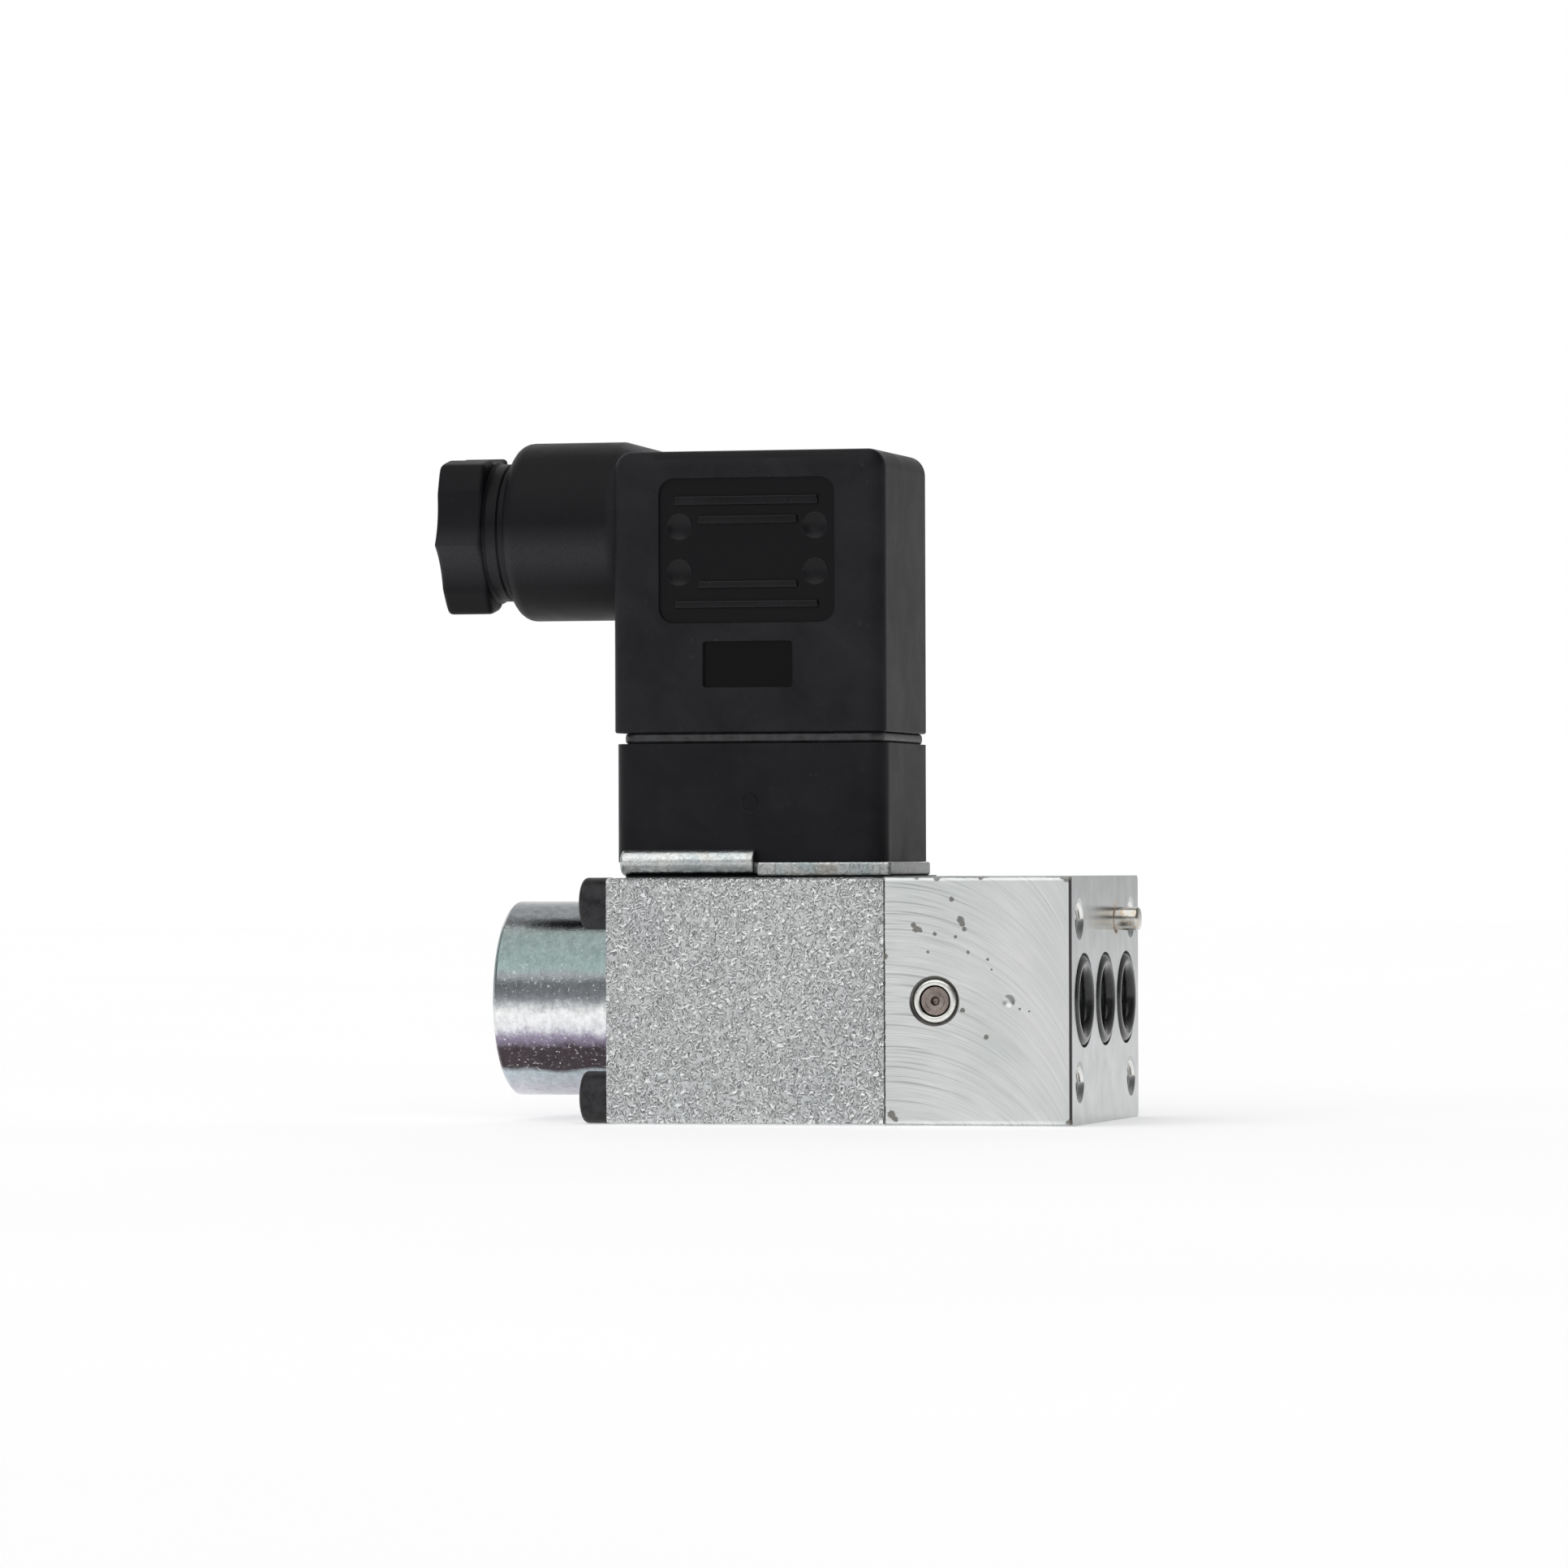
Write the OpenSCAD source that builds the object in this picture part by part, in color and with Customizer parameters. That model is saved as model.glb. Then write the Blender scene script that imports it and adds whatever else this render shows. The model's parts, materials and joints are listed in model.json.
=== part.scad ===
// Small flange-mounted 3-port solenoid seat valve with a square coil housing and a cube plug.
// Millimetres. The origin is the centre of the port face, +X is the port face's outward
// normal, +Z points to the plug, and the valve block, coil and end cap follow each other to -X.

/* [Valve block] */
// Length of the block between the port face and the coil joint
block_l = 20; // [20:0.5:24]
// Width of the block
block_w = 35; // [34.5:0.1:38]
// Height of the block
block_h = 26; // [25.5:0.1:30]

/* [Port face] */
// Distance from one port centre to the next
port_pitch = 11; // [10.6:0.1:11.8]
// Bore of the middle port
port_d = 4; // [3.8:0.1:4.4]
// Outer diameter of a port O-ring
ring_od = 9.8; // [9.4:0.1:10]
// Cord diameter of a port O-ring
ring_cord = 1.9; // [1.6:0.1:2]
// Height of a port O-ring above the face
ring_proud = 0.25; // [0.1:0.05:0.4]
// Distance between fixing holes across the width
fix_span_y = 27; // [26:0.1:27.5]
// Distance between fixing holes across the height
fix_span_z = 17; // [16.5:0.1:18]
// Core diameter of the M4 fixing threads
fix_core_d = 3.3; // [3.2:0.05:3.5]
// Diameter of the locating pin
locator_d = 2.5; // [2:0.1:3]
// Length of the locating pin outside the face
locator_proud = 2.6; // [2:0.1:4]

/* [Solenoid] */
// Length of the coil housing
housing_l = 30; // [30:0.5:34]
// Diameter of the end cap
cap_d = 20.8; // [20:0.1:21]
// Length of the end cap outside the coil housing
cap_proud = 14.5; // [13.5:0.5:18]
// Travel of the armature, ball and override pin
stroke = 0.8; // [0.5:0.1:0.9]
// Inner diameter of the pole tube
tube_bore_d = 13; // [12.6:0.1:13.2]
// Diameter of the valve ball
ball_d = 5; // [4.6:0.1:5]

/* [Plug and terminals] */
// Width of the plug and of the terminal base
plug_w = 21; // [20.6:0.1:22]
// Height of the plug housing
plug_h = 29.85; // [29:0.05:32]
// Wall of the plug housing
plug_wall = 1.6; // [1.2:0.1:1.8]
// Distance between the two current blades
blade_pitch = 10; // [9.4:0.1:11]
// Length of the blades above the terminal base
blade_proud = 11; // [9:0.5:12]
// Diameter of the cable neck
neck_d = 19.15; // [18.6:0.05:19.4]
// Distance across the corners of the gland nut
nut_corners = 19; // [18.4:0.1:19.4]
// Largest cable that the gland passes
cable_d = 8.5; // [7:0.1:9]

/* [Hidden] */

$fn = 64;
over = 0.5;                                 // how far a cut runs past the face it opens
fit = 0.05;                                 // radial running clearance
snug = 0.02;                                // radial clearance of a pressed piece
touch = 0.03;                               // gap between moving pieces that bear on each other

// Valve block stations along X
joint_x = -block_l;                         // face between block and coil housing
bore_r = 5;                                 // bore that holds both seats
ball_x = joint_x + 5.33;                    // ball centre at rest
ball_r = ball_d / 2;
seat_r = 1.8;                               // hole through each seat
seat_gap = sqrt(pow(ball_r + touch, 2) - pow(seat_r, 2));
tank_face_x = ball_x - seat_gap;            // sealing edge towards the tank side
pressure_face_x = ball_x + stroke + seat_gap;
tank_seat_l = 1.5;
pressure_seat_l = 3.7;
bore_end_x = pressure_face_x + pressure_seat_l;
retainer_x = -4.6;                          // disc that carries the fixed spring end
retainer_l = 1;
retainer_hole_r = 1;
spring_r = 1.4;                             // radius of the coil's centre line
spring_wire_r = 0.16;
spring_turns = 7;
chamber_r = 1.8;                            // spring chamber behind the middle port
gallery_x = joint_x + 5.4;                  // cross drilling of the working port
gallery_r = 1.6;
sleeve_r = 2.35;                            // sealing sleeve in the mouth of the gallery
sleeve_l = 3.6;
sleeve_sink = 0.1;                          // how far sleeve and pin lie inside the face
pin_sink = 0.3;
pin_centre_r = 0.475;
pin_centre_depth = 0.8;
branch_r = 2;                               // drillings behind the outer ports
tank_branch_x = -4.5;                       // end of the straight part of the tank drilling
tank_slant_r = 1.25;
tank_slant_end = [1.6, bore_r - 0.8];       // where it meets the seat bore, from the joint face
sleeve_mouth_r = 2.7;                       // bevel round the sleeve
sleeve_mouth_depth = 0.35;
dimple_x = -6.7;                            // small centre mark on the near side
dimple_r = 0.79;
dimple_depth = 0.45;
skin = 0.01;                                // overlap that joins or clears faces in one plane
ring_minor = ring_cord / 2;
ring_major = (ring_od - ring_cord) / 2;
ring_seat_d = ring_od + 0.1;
ring_depth = ring_cord - ring_proud;
fix_depth = 8;
fix_mouth_d = 4.4;
mouth_depth = 0.55;                         // depth of the countersinks of the fixing holes
locator_y = 5.7;
locator_z = 8.4;
locator_depth = 5;
locator_shank_r = 1.05;                     // thinner end pressed into the block
locator_mouth = 0.35;                       // width and depth of its countersink
locator_tip = 0.3;
edge_r = 0.6;                               // rounding of the long block edges

// Coil housing and its four long M3 screws
housing_x = joint_x - housing_l;            // outer end of the coil housing
housing_w = block_w - 0.2;
housing_h = block_h - 0.2;
screw_y = 14.5;
screw_z = 10.2;
m3_r = 1.48;
m3_hole_r = 1.6;
m3_head_r = 2.75;
m3_head_l = 3.1;
m3_key_r = 1.44;                            // corner radius of the 2.5 mm hexagon socket
m3_key_depth = 1.6;
m3_thread_l = 7;                            // length of thread in the block
m3_tap_l = 8;                               // depth of the tapped holes
end_wall = 4;                               // housing wall round the end cap
coil_room_r = 11.7;
lead_slot_x = -36.15;                       // middle of the lead slot, blades and plug screw
lead_slot_l = 11;
lead_slot_w = 13;

// Tube, core, cap and armature stations along X
cap_end_x = housing_x - cap_proud;
cap_r = cap_d / 2;
cap_inner_x = housing_x + end_wall;
cap_wall = 4;                               // closed end of the cap
tube_r = tube_bore_d / 2;
tube_out_r = tube_r + 1;
tube_start_x = housing_x - 2;
core_face_x = joint_x - 12;
core_nose_l = 2;
core_flange_l = 2;
core_flange_r = 9.5;
armature_gap = 0.3;                         // gap left between armature and core when pulled in
armature_end_x = core_face_x - armature_gap - stroke;
armature_start_x = housing_x - 8;
armature_r = tube_r - 0.1;
oil_way_r = 0.8;
oil_way_y = 4;
rod_r = 1.2;
rod_grip_l = 3;                             // length of the push rod pressed in the armature
rod_tip_x = ball_x - ball_r - touch;
override_r = 1.5;
override_collar_r = 2.6;
override_collar_l = 1;
override_sink = 0.2;                        // how far the pin's end lies inside the cap's face
override_mouth_r = 2.6;
override_mouth_depth = 1;
cap_edge = 0.4;
core_bore_gap = 0.07;                       // radial clearance of the push rod in the core

// O-rings of the solenoid: 1 mm cord, each in a groove a little longer than the cord
cord_r = 0.5;
core_ring_r = 6.6;
core_groove = [6, 7.2, 1.05];               // inner radius, outer radius and depth
override_ring_x = cap_end_x + 2.4;
override_ring_r = override_r + cord_r + 0.04;
tube_ring_x = housing_x + 1;
tube_ring_r = tube_out_r + cord_r + 0.03;
groove_half = 0.6;                          // half the length of a radial groove

// Bobbin and winding
bobbin_in_r = tube_out_r + 0.1;
bobbin_tube_r = bobbin_in_r + 0.9;
bobbin_start_x = cap_inner_x + 0.1;
bobbin_end_x = joint_x - core_flange_l - 0.1;
bobbin_flange_l = 1.2;
bobbin_flange_r = coil_room_r - 0.2;
winding_r = coil_room_r - 0.7;

// Levels of the electrical parts along Z
housing_top_z = housing_h / 2;
plate_z = housing_top_z + 0.2;
plate_t = 1.45;
base_z = plate_z + plate_t;
base_top_z = 27.1;
gasket_t = 1.15;
plug_z = base_top_z + gasket_t;
plug_top_z = plug_z + plug_h;
insert_top_z = plug_z + 13.1;
neck_z = 50.1;

// Outlines of the electrical parts in plan
plate_lo = [housing_x, -12];
plate_hi = [joint_x - 0.5, 10.6];
plate_far_r = 4.4;                          // far right corner of the plate
lip_l = 14.6;                               // length of the raised lip at the plate's front edge
lip_top_z = 16;
lip_bend_r = 1.4;
base_x0 = -50.9;
base_x1 = -21.4;
base_corner_r = 2;
gasket_x0 = -50.1;
gasket_x1 = -21.8;
gasket_inset = 0.35;
gasket_hole = [[-46.4, -7.4], [-24.6, 7.4]];
plug_x0 = -51.1;
plug_x1 = -21.5;
plug_corner_r = 1.3;
plug_top_r = 2.2;
plug_roof = 1.8;

// Contacts, all 6.3 x 0.8 blades
blade_w = 6.3;
blade_t = 0.8;
blade_root = 11.5;                          // length of a blade inside the terminal base
earth_x = lead_slot_x + 7.6;
socket_w = 7.5;
socket_t = 2.6;
socket_l = 12.4;
socket_top_z = plug_z + 13.2;
blade_gap = 0.1;                            // clearance round a blade in its socket
screw_in = 1.8;                             // length of a terminal screw's thread
terminal_r = 0.93;
terminal_head = [1.75, 1.4];                // radius and height
terminal_slot = [0.5, 0.6];                 // width and depth
lead_r = 0.35;
lead_x = lead_slot_x + 2;

// Plug screw
plug_screw_r = 1.45;
plug_screw_hole_r = 1.7;
plug_screw_head_r = 2.75;
plug_screw_head_l = 2;
plug_screw_tip_z = 18.5;
plug_screw_slot = [0.8, 1];                 // width and depth of the slot in its head
bush_z = plug_screw_tip_z - 1.5;
bush_r = 2.48;
screw_well_r = 3.4;
screw_well_depth = 2.4;
screw_seal_t = 0.4;
screw_seal_r = 2.7;
screw_tower_r = 3.1;
screw_well_tower_r = 4.6;                   // wider top of the tower, under the screw's well
screw_well_tower_z = 43.4;

// Cable gland, PG9
neck_end_x = -63.9;
neck_crest_x = -52.2;                       // where the neck's crest starts to run out
neck_runout_x = -46;
gland_bore_r = 7.45;
gland_shelf_x = -54.2;                      // shelf that the cable seal rests on
cable_way_r = 5.5;
seal_l = 5.1;
seal_hole_r = 3.2;
washer_x = -61.2;
washer_t = 1;
nut_x = -71.4;
nut_head_l = 5.1;
nut_collar_end_x = washer_x - fit;
nut_roll = 41;                              // turn of the hexagon about its axis
groove_r = 9;
groove_depth = 0.94;
groove_shift = 2.55;                        // each groove leans towards the next odd corner

// Helpers: pieces along X and Z, boxes between two corners, plates with rounded corners
module rod_x(x0, x1, r, y = 0, z = 0) {
    translate([x0, y, z])
        rotate([0, 90, 0])
            cylinder(h = x1 - x0, r = r);
}

module cone_x(x0, x1, r0, r1, y = 0, z = 0) {
    translate([x0, y, z])
        rotate([0, 90, 0])
            cylinder(h = x1 - x0, r1 = r0, r2 = r1);
}

module rod_z(z0, z1, r, x = 0, y = 0) {
    translate([x, y, z0])
        cylinder(h = z1 - z0, r = r);
}

module tube_x(x0, x1, r_out, r_in, z = 0) {
    difference() {
        rod_x(x0, x1, r_out, 0, z);
        rod_x(x0 - over, x1 + over, r_in, 0, z);
    }
}

module ring_x(x, major, minor, y = 0) {
    translate([x, y, 0])
        rotate([0, 90, 0])
            rotate_extrude()
                translate([major, 0])
                    circle(r = minor, $fn = 32);
}

module box(lo, hi) {
    translate(lo)
        cube(hi - lo);
}

module rounded_rect(lo, hi, r) {
    size = hi - lo;
    translate(lo + [r, 0])
        square([size[0] - 2 * r, size[1]]);
    translate(lo + [0, r])
        square([size[0], size[1] - 2 * r]);
    for (x = [lo[0] + r, hi[0] - r], y = [lo[1] + r, hi[1] - r])
        translate([x, y])
            circle(r = r);
}

module slab_z(lo, hi, z0, z1, r) {
    translate([0, 0, z0])
        linear_extrude(z1 - z0)
            rounded_rect(lo, hi, r);
}

// Bar along X whose cross-section is a rounded rectangle of width w and height h
module bar_x(x0, x1, w, h, r) {
    translate([x0, 0, 0])
        rotate([90, 0, 90])
            linear_extrude(x1 - x0)
                rounded_rect([-w / 2, -h / 2], [w / 2, h / 2], r);
}

// Plate seen along Y, from x, z corner lo to corner hi
module slab_y(lo, hi, y0, y1, r) {
    translate([0, y1, 0])
        rotate([90, 0, 0])
            linear_extrude(y1 - y0)
                rounded_rect(lo, hi, r);
}

module at_corners(y, z) {
    for (sy = [-1, 1], sz = [-1, 1])
        translate([0, sy * y, sz * z])
            children();
}

// Places its child at each contact: two current contacts, then the earth contact
module at_contacts() {
    for (sy = [-1, 1])
        translate([lead_slot_x, sy * blade_pitch / 2, 0])
            children();
    translate([earth_x, 0, 0])
        rotate([0, 0, 90])
            children();
}

// Helical wire along X: rings of points swept round the helix
module helix_x(x0, x1, coil_r, wire_r, turns) {
    sides = 8;
    steps = turns * 20;
    function ring_point(i, k) =
        let (
            turn = 360 * turns * i / steps,
            side = 360 * k / sides,
            r = coil_r + wire_r * cos(side)
        )
        [x0 + wire_r + (x1 - x0 - 2 * wire_r) * i / steps + wire_r * sin(side),
         r * cos(turn), r * sin(turn)];
    points = [for (i = [0 : steps], k = [0 : sides - 1]) ring_point(i, k)];
    walls = [
        for (i = [0 : steps - 1], k = [0 : sides - 1])
            [i * sides + k, (i + 1) * sides + k,
             (i + 1) * sides + (k + 1) % sides, i * sides + (k + 1) % sides]
    ];
    first = [for (k = [0 : sides - 1]) k];
    last = [for (k = [0 : sides - 1]) steps * sides + sides - 1 - k];
    polyhedron(points = points, faces = concat(walls, [first], [last]), convexity = 10);
}

// Block with the seat bore, three ports, the working gallery and the slanted tank drilling
module valve_block() {
    tank_in = [tank_branch_x + 0.5, port_pitch, 0];
    tank_out = [joint_x + tank_slant_end[0], tank_slant_end[1], 0];
    tank_run = tank_out - tank_in;
    color([0.76, 0.77, 0.79])
        difference() {
            bar_x(joint_x, 0, block_w, block_h, edge_r);
            rod_x(joint_x - over, bore_end_x, bore_r);
            rod_x(bore_end_x - over, retainer_x + retainer_l, chamber_r);
            rod_x(retainer_x + retainer_l, over, port_d / 2);
            rod_x(gallery_x, over, branch_r, -port_pitch);
            rod_x(tank_branch_x, over, branch_r, port_pitch);
            for (y = [-port_pitch, 0, port_pitch])
                rod_x(-ring_depth, over, ring_seat_d / 2, y);
            translate(tank_in)
                rotate([0, 0, atan2(tank_run[1], tank_run[0])])
                    rod_x(0, norm(tank_run), tank_slant_r);
            translate([gallery_x, 0, 0])
                rotate([90, 0, 0])
                    cylinder(h = block_w / 2 + over, r = gallery_r);
            translate([gallery_x, -block_w / 2 + sleeve_l, 0])
                rotate([90, 0, 0])
                    cylinder(h = sleeve_l + over, r = sleeve_r + snug);
            translate([gallery_x, -block_w / 2 + sleeve_mouth_depth, 0])
                rotate([90, 0, 0])
                    cylinder(h = sleeve_mouth_depth + skin, r1 = sleeve_r, r2 = sleeve_mouth_r);
            translate([dimple_x, -block_w / 2 + dimple_depth, 0])
                rotate([90, 0, 0])
                    cylinder(h = dimple_depth + skin, r1 = 0, r2 = dimple_r);
            at_corners(screw_y, screw_z)
                rod_x(joint_x - over, joint_x + m3_tap_l, m3_r + snug);
            at_corners(fix_span_y / 2, fix_span_z / 2) {
                rod_x(-fix_depth, over, fix_core_d / 2);
                cone_x(-mouth_depth, skin, fix_core_d / 2, fix_mouth_d / 2);
            }
            rod_x(-locator_depth, over, locator_shank_r + snug, locator_y, locator_z);
            cone_x(-locator_mouth, skin, locator_d / 2, locator_d / 2 + locator_mouth,
                   locator_y, locator_z);
        }
}

module port_seals() {
    color([0.12, 0.13, 0.13])
        for (y = [-port_pitch, 0, port_pitch])
            ring_x(ring_proud - ring_minor, ring_major, ring_minor, y);
}

module locating_pin() {
    tip_x = locator_proud - locator_tip;
    color([0.72, 0.72, 0.72])
        union() {
            rod_x(-locator_depth, skin, locator_shank_r, locator_y, locator_z);
            rod_x(0, tip_x, locator_d / 2, locator_y, locator_z);
            cone_x(tip_x, locator_proud, locator_d / 2, locator_d / 2 - locator_tip,
                   locator_y, locator_z);
        }
}

// Sleeve and tapered pin that close the mouth of the working gallery
module gallery_sleeve() {
    color([0.82, 0.82, 0.8])
        translate([gallery_x, -block_w / 2 + sleeve_l, 0])
            rotate([90, 0, 0])
                difference() {
                    cylinder(h = sleeve_l - sleeve_sink, r = sleeve_r);
                    translate([0, 0, -over])
                        cylinder(h = sleeve_l + 2 * over, r = gallery_r);
                }
}

module gallery_pin() {
    pin_l = sleeve_l - pin_sink;
    color([0.55, 0.53, 0.5])
        translate([gallery_x, -block_w / 2 + sleeve_l, 0])
            rotate([90, 0, 0])
                difference() {
                    cylinder(h = pin_l, r = gallery_r - snug);
                    translate([0, 0, pin_l - pin_centre_depth])
                        cylinder(h = pin_centre_depth + over, r = pin_centre_r);
                }
}

module tank_seat() {
    color([0.6, 0.6, 0.62])
        tube_x(tank_face_x - tank_seat_l, tank_face_x, bore_r - snug, seat_r);
}

module pressure_seat() {
    color([0.6, 0.6, 0.62])
        tube_x(pressure_face_x, bore_end_x, bore_r - snug, seat_r);
}

module spring_retainer() {
    color([0.7, 0.7, 0.68])
        tube_x(retainer_x, retainer_x + retainer_l, chamber_r - snug, retainer_hole_r);
}

module return_spring() {
    color([0.75, 0.75, 0.76])
        helix_x(ball_x + ball_r + snug, retainer_x - snug, spring_r, spring_wire_r, spring_turns);
}

module valve_ball() {
    color([0.85, 0.85, 0.86])
        translate([ball_x, 0, 0])
            sphere(r = ball_r);
}

// Square steel coil housing with an end wall, open towards the block
module coil_housing() {
    color([0.74, 0.75, 0.75])
        difference() {
            bar_x(housing_x, joint_x, housing_w, housing_h, edge_r);
            rod_x(cap_inner_x, joint_x + over, coil_room_r);
            rod_x(housing_x - over, cap_inner_x + over, cap_r + fit);
            at_corners(screw_y, screw_z)
                rod_x(housing_x - over, joint_x + over, m3_hole_r);
            box([lead_slot_x - lead_slot_l / 2, -lead_slot_w / 2, 0],
                [lead_slot_x + lead_slot_l / 2, lead_slot_w / 2, housing_h]);
        }
}

// Four long socket head screws through the housing into the block
module housing_screws() {
    color([0.1, 0.1, 0.1])
        at_corners(screw_y, screw_z)
            difference() {
                union() {
                    rod_x(housing_x - m3_head_l, housing_x, m3_head_r);
                    rod_x(housing_x - skin, joint_x + m3_thread_l, m3_r);
                }
                translate([housing_x - m3_head_l - over, 0, 0])
                    rotate([0, 90, 0])
                        cylinder(h = m3_key_depth + over, r = m3_key_r, $fn = 6);
            }
}

module core_seal() {
    color([0.1, 0.1, 0.1])
        ring_x(joint_x - cord_r - snug, core_ring_r, cord_r);
}

// Pole piece with a flange against the block and a bore that guides the push rod
module fixed_core() {
    color([0.68, 0.68, 0.7])
        difference() {
            union() {
                rod_x(core_face_x, joint_x - 1, tube_r - snug);
                rod_x(core_face_x + core_nose_l, joint_x - 1, tube_out_r);
                rod_x(joint_x - core_flange_l, joint_x, core_flange_r);
            }
            rod_x(core_face_x - over, joint_x + over, rod_r + core_bore_gap);
            translate([joint_x - core_groove[2], 0, 0])
                rotate([0, 90, 0])
                    rotate_extrude()
                        translate([core_groove[0], 0])
                            square([core_groove[1] - core_groove[0], core_groove[2] + over]);
        }
}

module pole_tube() {
    color([0.7, 0.7, 0.68])
        tube_x(tube_start_x, core_face_x + core_nose_l - fit, tube_out_r, tube_r);
}

module tube_seal() {
    color([0.1, 0.1, 0.1])
        ring_x(tube_ring_x, tube_ring_r, cord_r);
}

module groove(x, r) {
    rod_x(x - groove_half, x + groove_half, r);
}

// Round steel cap over the armature's free end, with the override bore in its closed end
module end_cap() {
    color([0.66, 0.7, 0.72])
        difference() {
            union() {
                rod_x(cap_end_x + cap_edge, cap_inner_x, cap_r);
                cone_x(cap_end_x, cap_end_x + cap_edge, cap_r - cap_edge, cap_r);
            }
            rod_x(cap_end_x + cap_wall, cap_inner_x + over, tube_r);
            rod_x(tube_start_x, cap_inner_x + over, tube_out_r + snug);
            rod_x(cap_end_x - over, cap_inner_x, override_r + fit);
            cone_x(cap_end_x - skin, cap_end_x + override_mouth_depth, override_mouth_r, override_r);
            groove(override_ring_x, override_ring_r + cord_r + skin);
            groove(tube_ring_x, tube_ring_r + cord_r + fit);
        }
}

module override_seal() {
    color([0.1, 0.1, 0.1])
        ring_x(override_ring_x, override_ring_r, cord_r);
}

// Manual override pin with an inner collar that keeps it in the cap
module override_pin() {
    collar_x = cap_end_x + cap_wall + 0.1;
    color([0.8, 0.72, 0.45])
        union() {
            rod_x(cap_end_x + override_sink, armature_start_x - touch, override_r);
            rod_x(collar_x, collar_x + override_collar_l, override_collar_r);
        }
}

module armature() {
    color([0.6, 0.6, 0.62])
        difference() {
            rod_x(armature_start_x, armature_end_x, armature_r);
            rod_x(armature_end_x - rod_grip_l, armature_end_x + over, rod_r + skin);
            for (y = [-oil_way_y, oil_way_y])
                rod_x(armature_start_x - over, armature_end_x + over, oil_way_r, y);
        }
}

module push_rod() {
    color([0.8, 0.8, 0.8])
        rod_x(armature_end_x - rod_grip_l, rod_tip_x, rod_r);
}

module coil_bobbin() {
    color([0.2, 0.2, 0.22])
        difference() {
            union() {
                rod_x(bobbin_start_x, bobbin_end_x, bobbin_tube_r);
                rod_x(bobbin_start_x, bobbin_start_x + bobbin_flange_l, bobbin_flange_r);
                rod_x(bobbin_end_x - bobbin_flange_l, bobbin_end_x, bobbin_flange_r);
            }
            rod_x(bobbin_start_x - over, bobbin_end_x + over, bobbin_in_r);
        }
}

module coil_winding() {
    color([0.72, 0.4, 0.2])
        tube_x(bobbin_start_x + bobbin_flange_l, bobbin_end_x - bobbin_flange_l,
               winding_r, bobbin_tube_r + skin);
}

// Two leads from the winding up to the feet of the current blades
module coil_leads() {
    lead_z0 = sqrt(pow(winding_r, 2) - pow(blade_pitch / 2 - lead_r, 2));
    color([0.72, 0.4, 0.2])
        for (sy = [-1, 1])
            rod_z(lead_z0, base_top_z - blade_root, lead_r, lead_x, sy * blade_pitch / 2);
}

// Sheet plate under the terminal base, with a window and a lip at the front left
module base_plate() {
    window = [7, 7.2];
    relief = 0.35;
    bend_y = plate_lo[1] + lip_bend_r;
    bend_z = plate_z + lip_bend_r;
    lip_x1 = plate_lo[0] + lip_l;
    color([0.72, 0.74, 0.74])
        union() {
            difference() {
                box([plate_lo[0], bend_y, plate_z], [plate_hi[0], plate_hi[1], base_z]);
                box([lead_slot_x - window[0], -window[1], plate_z - over],
                    [lead_slot_x + window[0], window[1], base_z + over]);
                difference() {
                    box([plate_hi[0] - plate_far_r, plate_hi[1] - plate_far_r, plate_z - over],
                        [plate_hi[0] + over, plate_hi[1] + over, base_z + over]);
                    rod_z(plate_z - 2 * over, base_z + 2 * over, plate_far_r,
                          plate_hi[0] - plate_far_r, plate_hi[1] - plate_far_r);
                }
            }
            box([lip_x1 + relief, plate_lo[1], plate_z], [plate_hi[0], bend_y, base_z]);
            box([plate_lo[0], plate_lo[1], bend_z], [lip_x1, bend_y, lip_top_z]);
            intersection() {
                rod_x(plate_lo[0], lip_x1, lip_bend_r, bend_y, bend_z);
                box([plate_lo[0], plate_lo[1], plate_z], [lip_x1, bend_y, bend_z]);
            }
        }
}

// Moulded terminal base: block above the plate, stem through the plate's window, thin foot
module terminal_base() {
    stem = [6.8, 6.9];
    core = [6.5, 6.5];
    foot = [[plate_lo[0] + 0.4, -11.6], [plate_hi[0], plate_hi[1]]];
    color([0.09, 0.09, 0.1])
        difference() {
            union() {
                slab_z([base_x0, -plug_w / 2], [base_x1, plug_w / 2], base_z, base_top_z, base_corner_r);
                box([lead_slot_x - stem[0], -stem[1], housing_top_z],
                    [lead_slot_x + stem[0], stem[1], base_z + over]);
                difference() {
                    slab_z(foot[0], foot[1], housing_top_z, plate_z, 1);
                    box([lead_slot_x - core[0], -core[1], 0],
                        [lead_slot_x + core[0], core[1], plate_z + over]);
                }
            }
            rod_z(bush_z, base_top_z + over, bush_r + snug, lead_slot_x);
            at_contacts()
                blade(base_top_z - blade_root, base_top_z + over, skin);
            for (sy = [-1, 1])
                rod_z(housing_top_z - over, base_top_z - blade_root + skin, lead_r + snug,
                      lead_x, sy * blade_pitch / 2);
        }
}

module blade(z0, z1, grow = 0) {
    w = blade_w / 2 + grow;
    t = blade_t / 2 + grow;
    box([-w, -t, z0], [w, t, z1]);
}

// Threaded brass bush for the plug screw
module base_insert() {
    color([0.8, 0.65, 0.3])
        difference() {
            rod_z(bush_z, base_top_z - 0.2, bush_r, lead_slot_x);
            rod_z(bush_z + 0.5, base_top_z, plug_screw_r + fit, lead_slot_x);
        }
}

module contact_blades() {
    color([0.8, 0.8, 0.76])
        at_contacts()
            blade(base_top_z - blade_root, base_top_z + blade_proud);
}

// Profile gasket between terminal base and plug, open over the contacts
module plug_gasket() {
    color([0.13, 0.13, 0.13])
        difference() {
            slab_z([gasket_x0, gasket_inset - plug_w / 2], [gasket_x1, plug_w / 2 - gasket_inset],
                   base_top_z, plug_z, base_corner_r);
            slab_z(gasket_hole[0], gasket_hole[1], base_top_z - over, plug_z + over, 1);
        }
}

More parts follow.
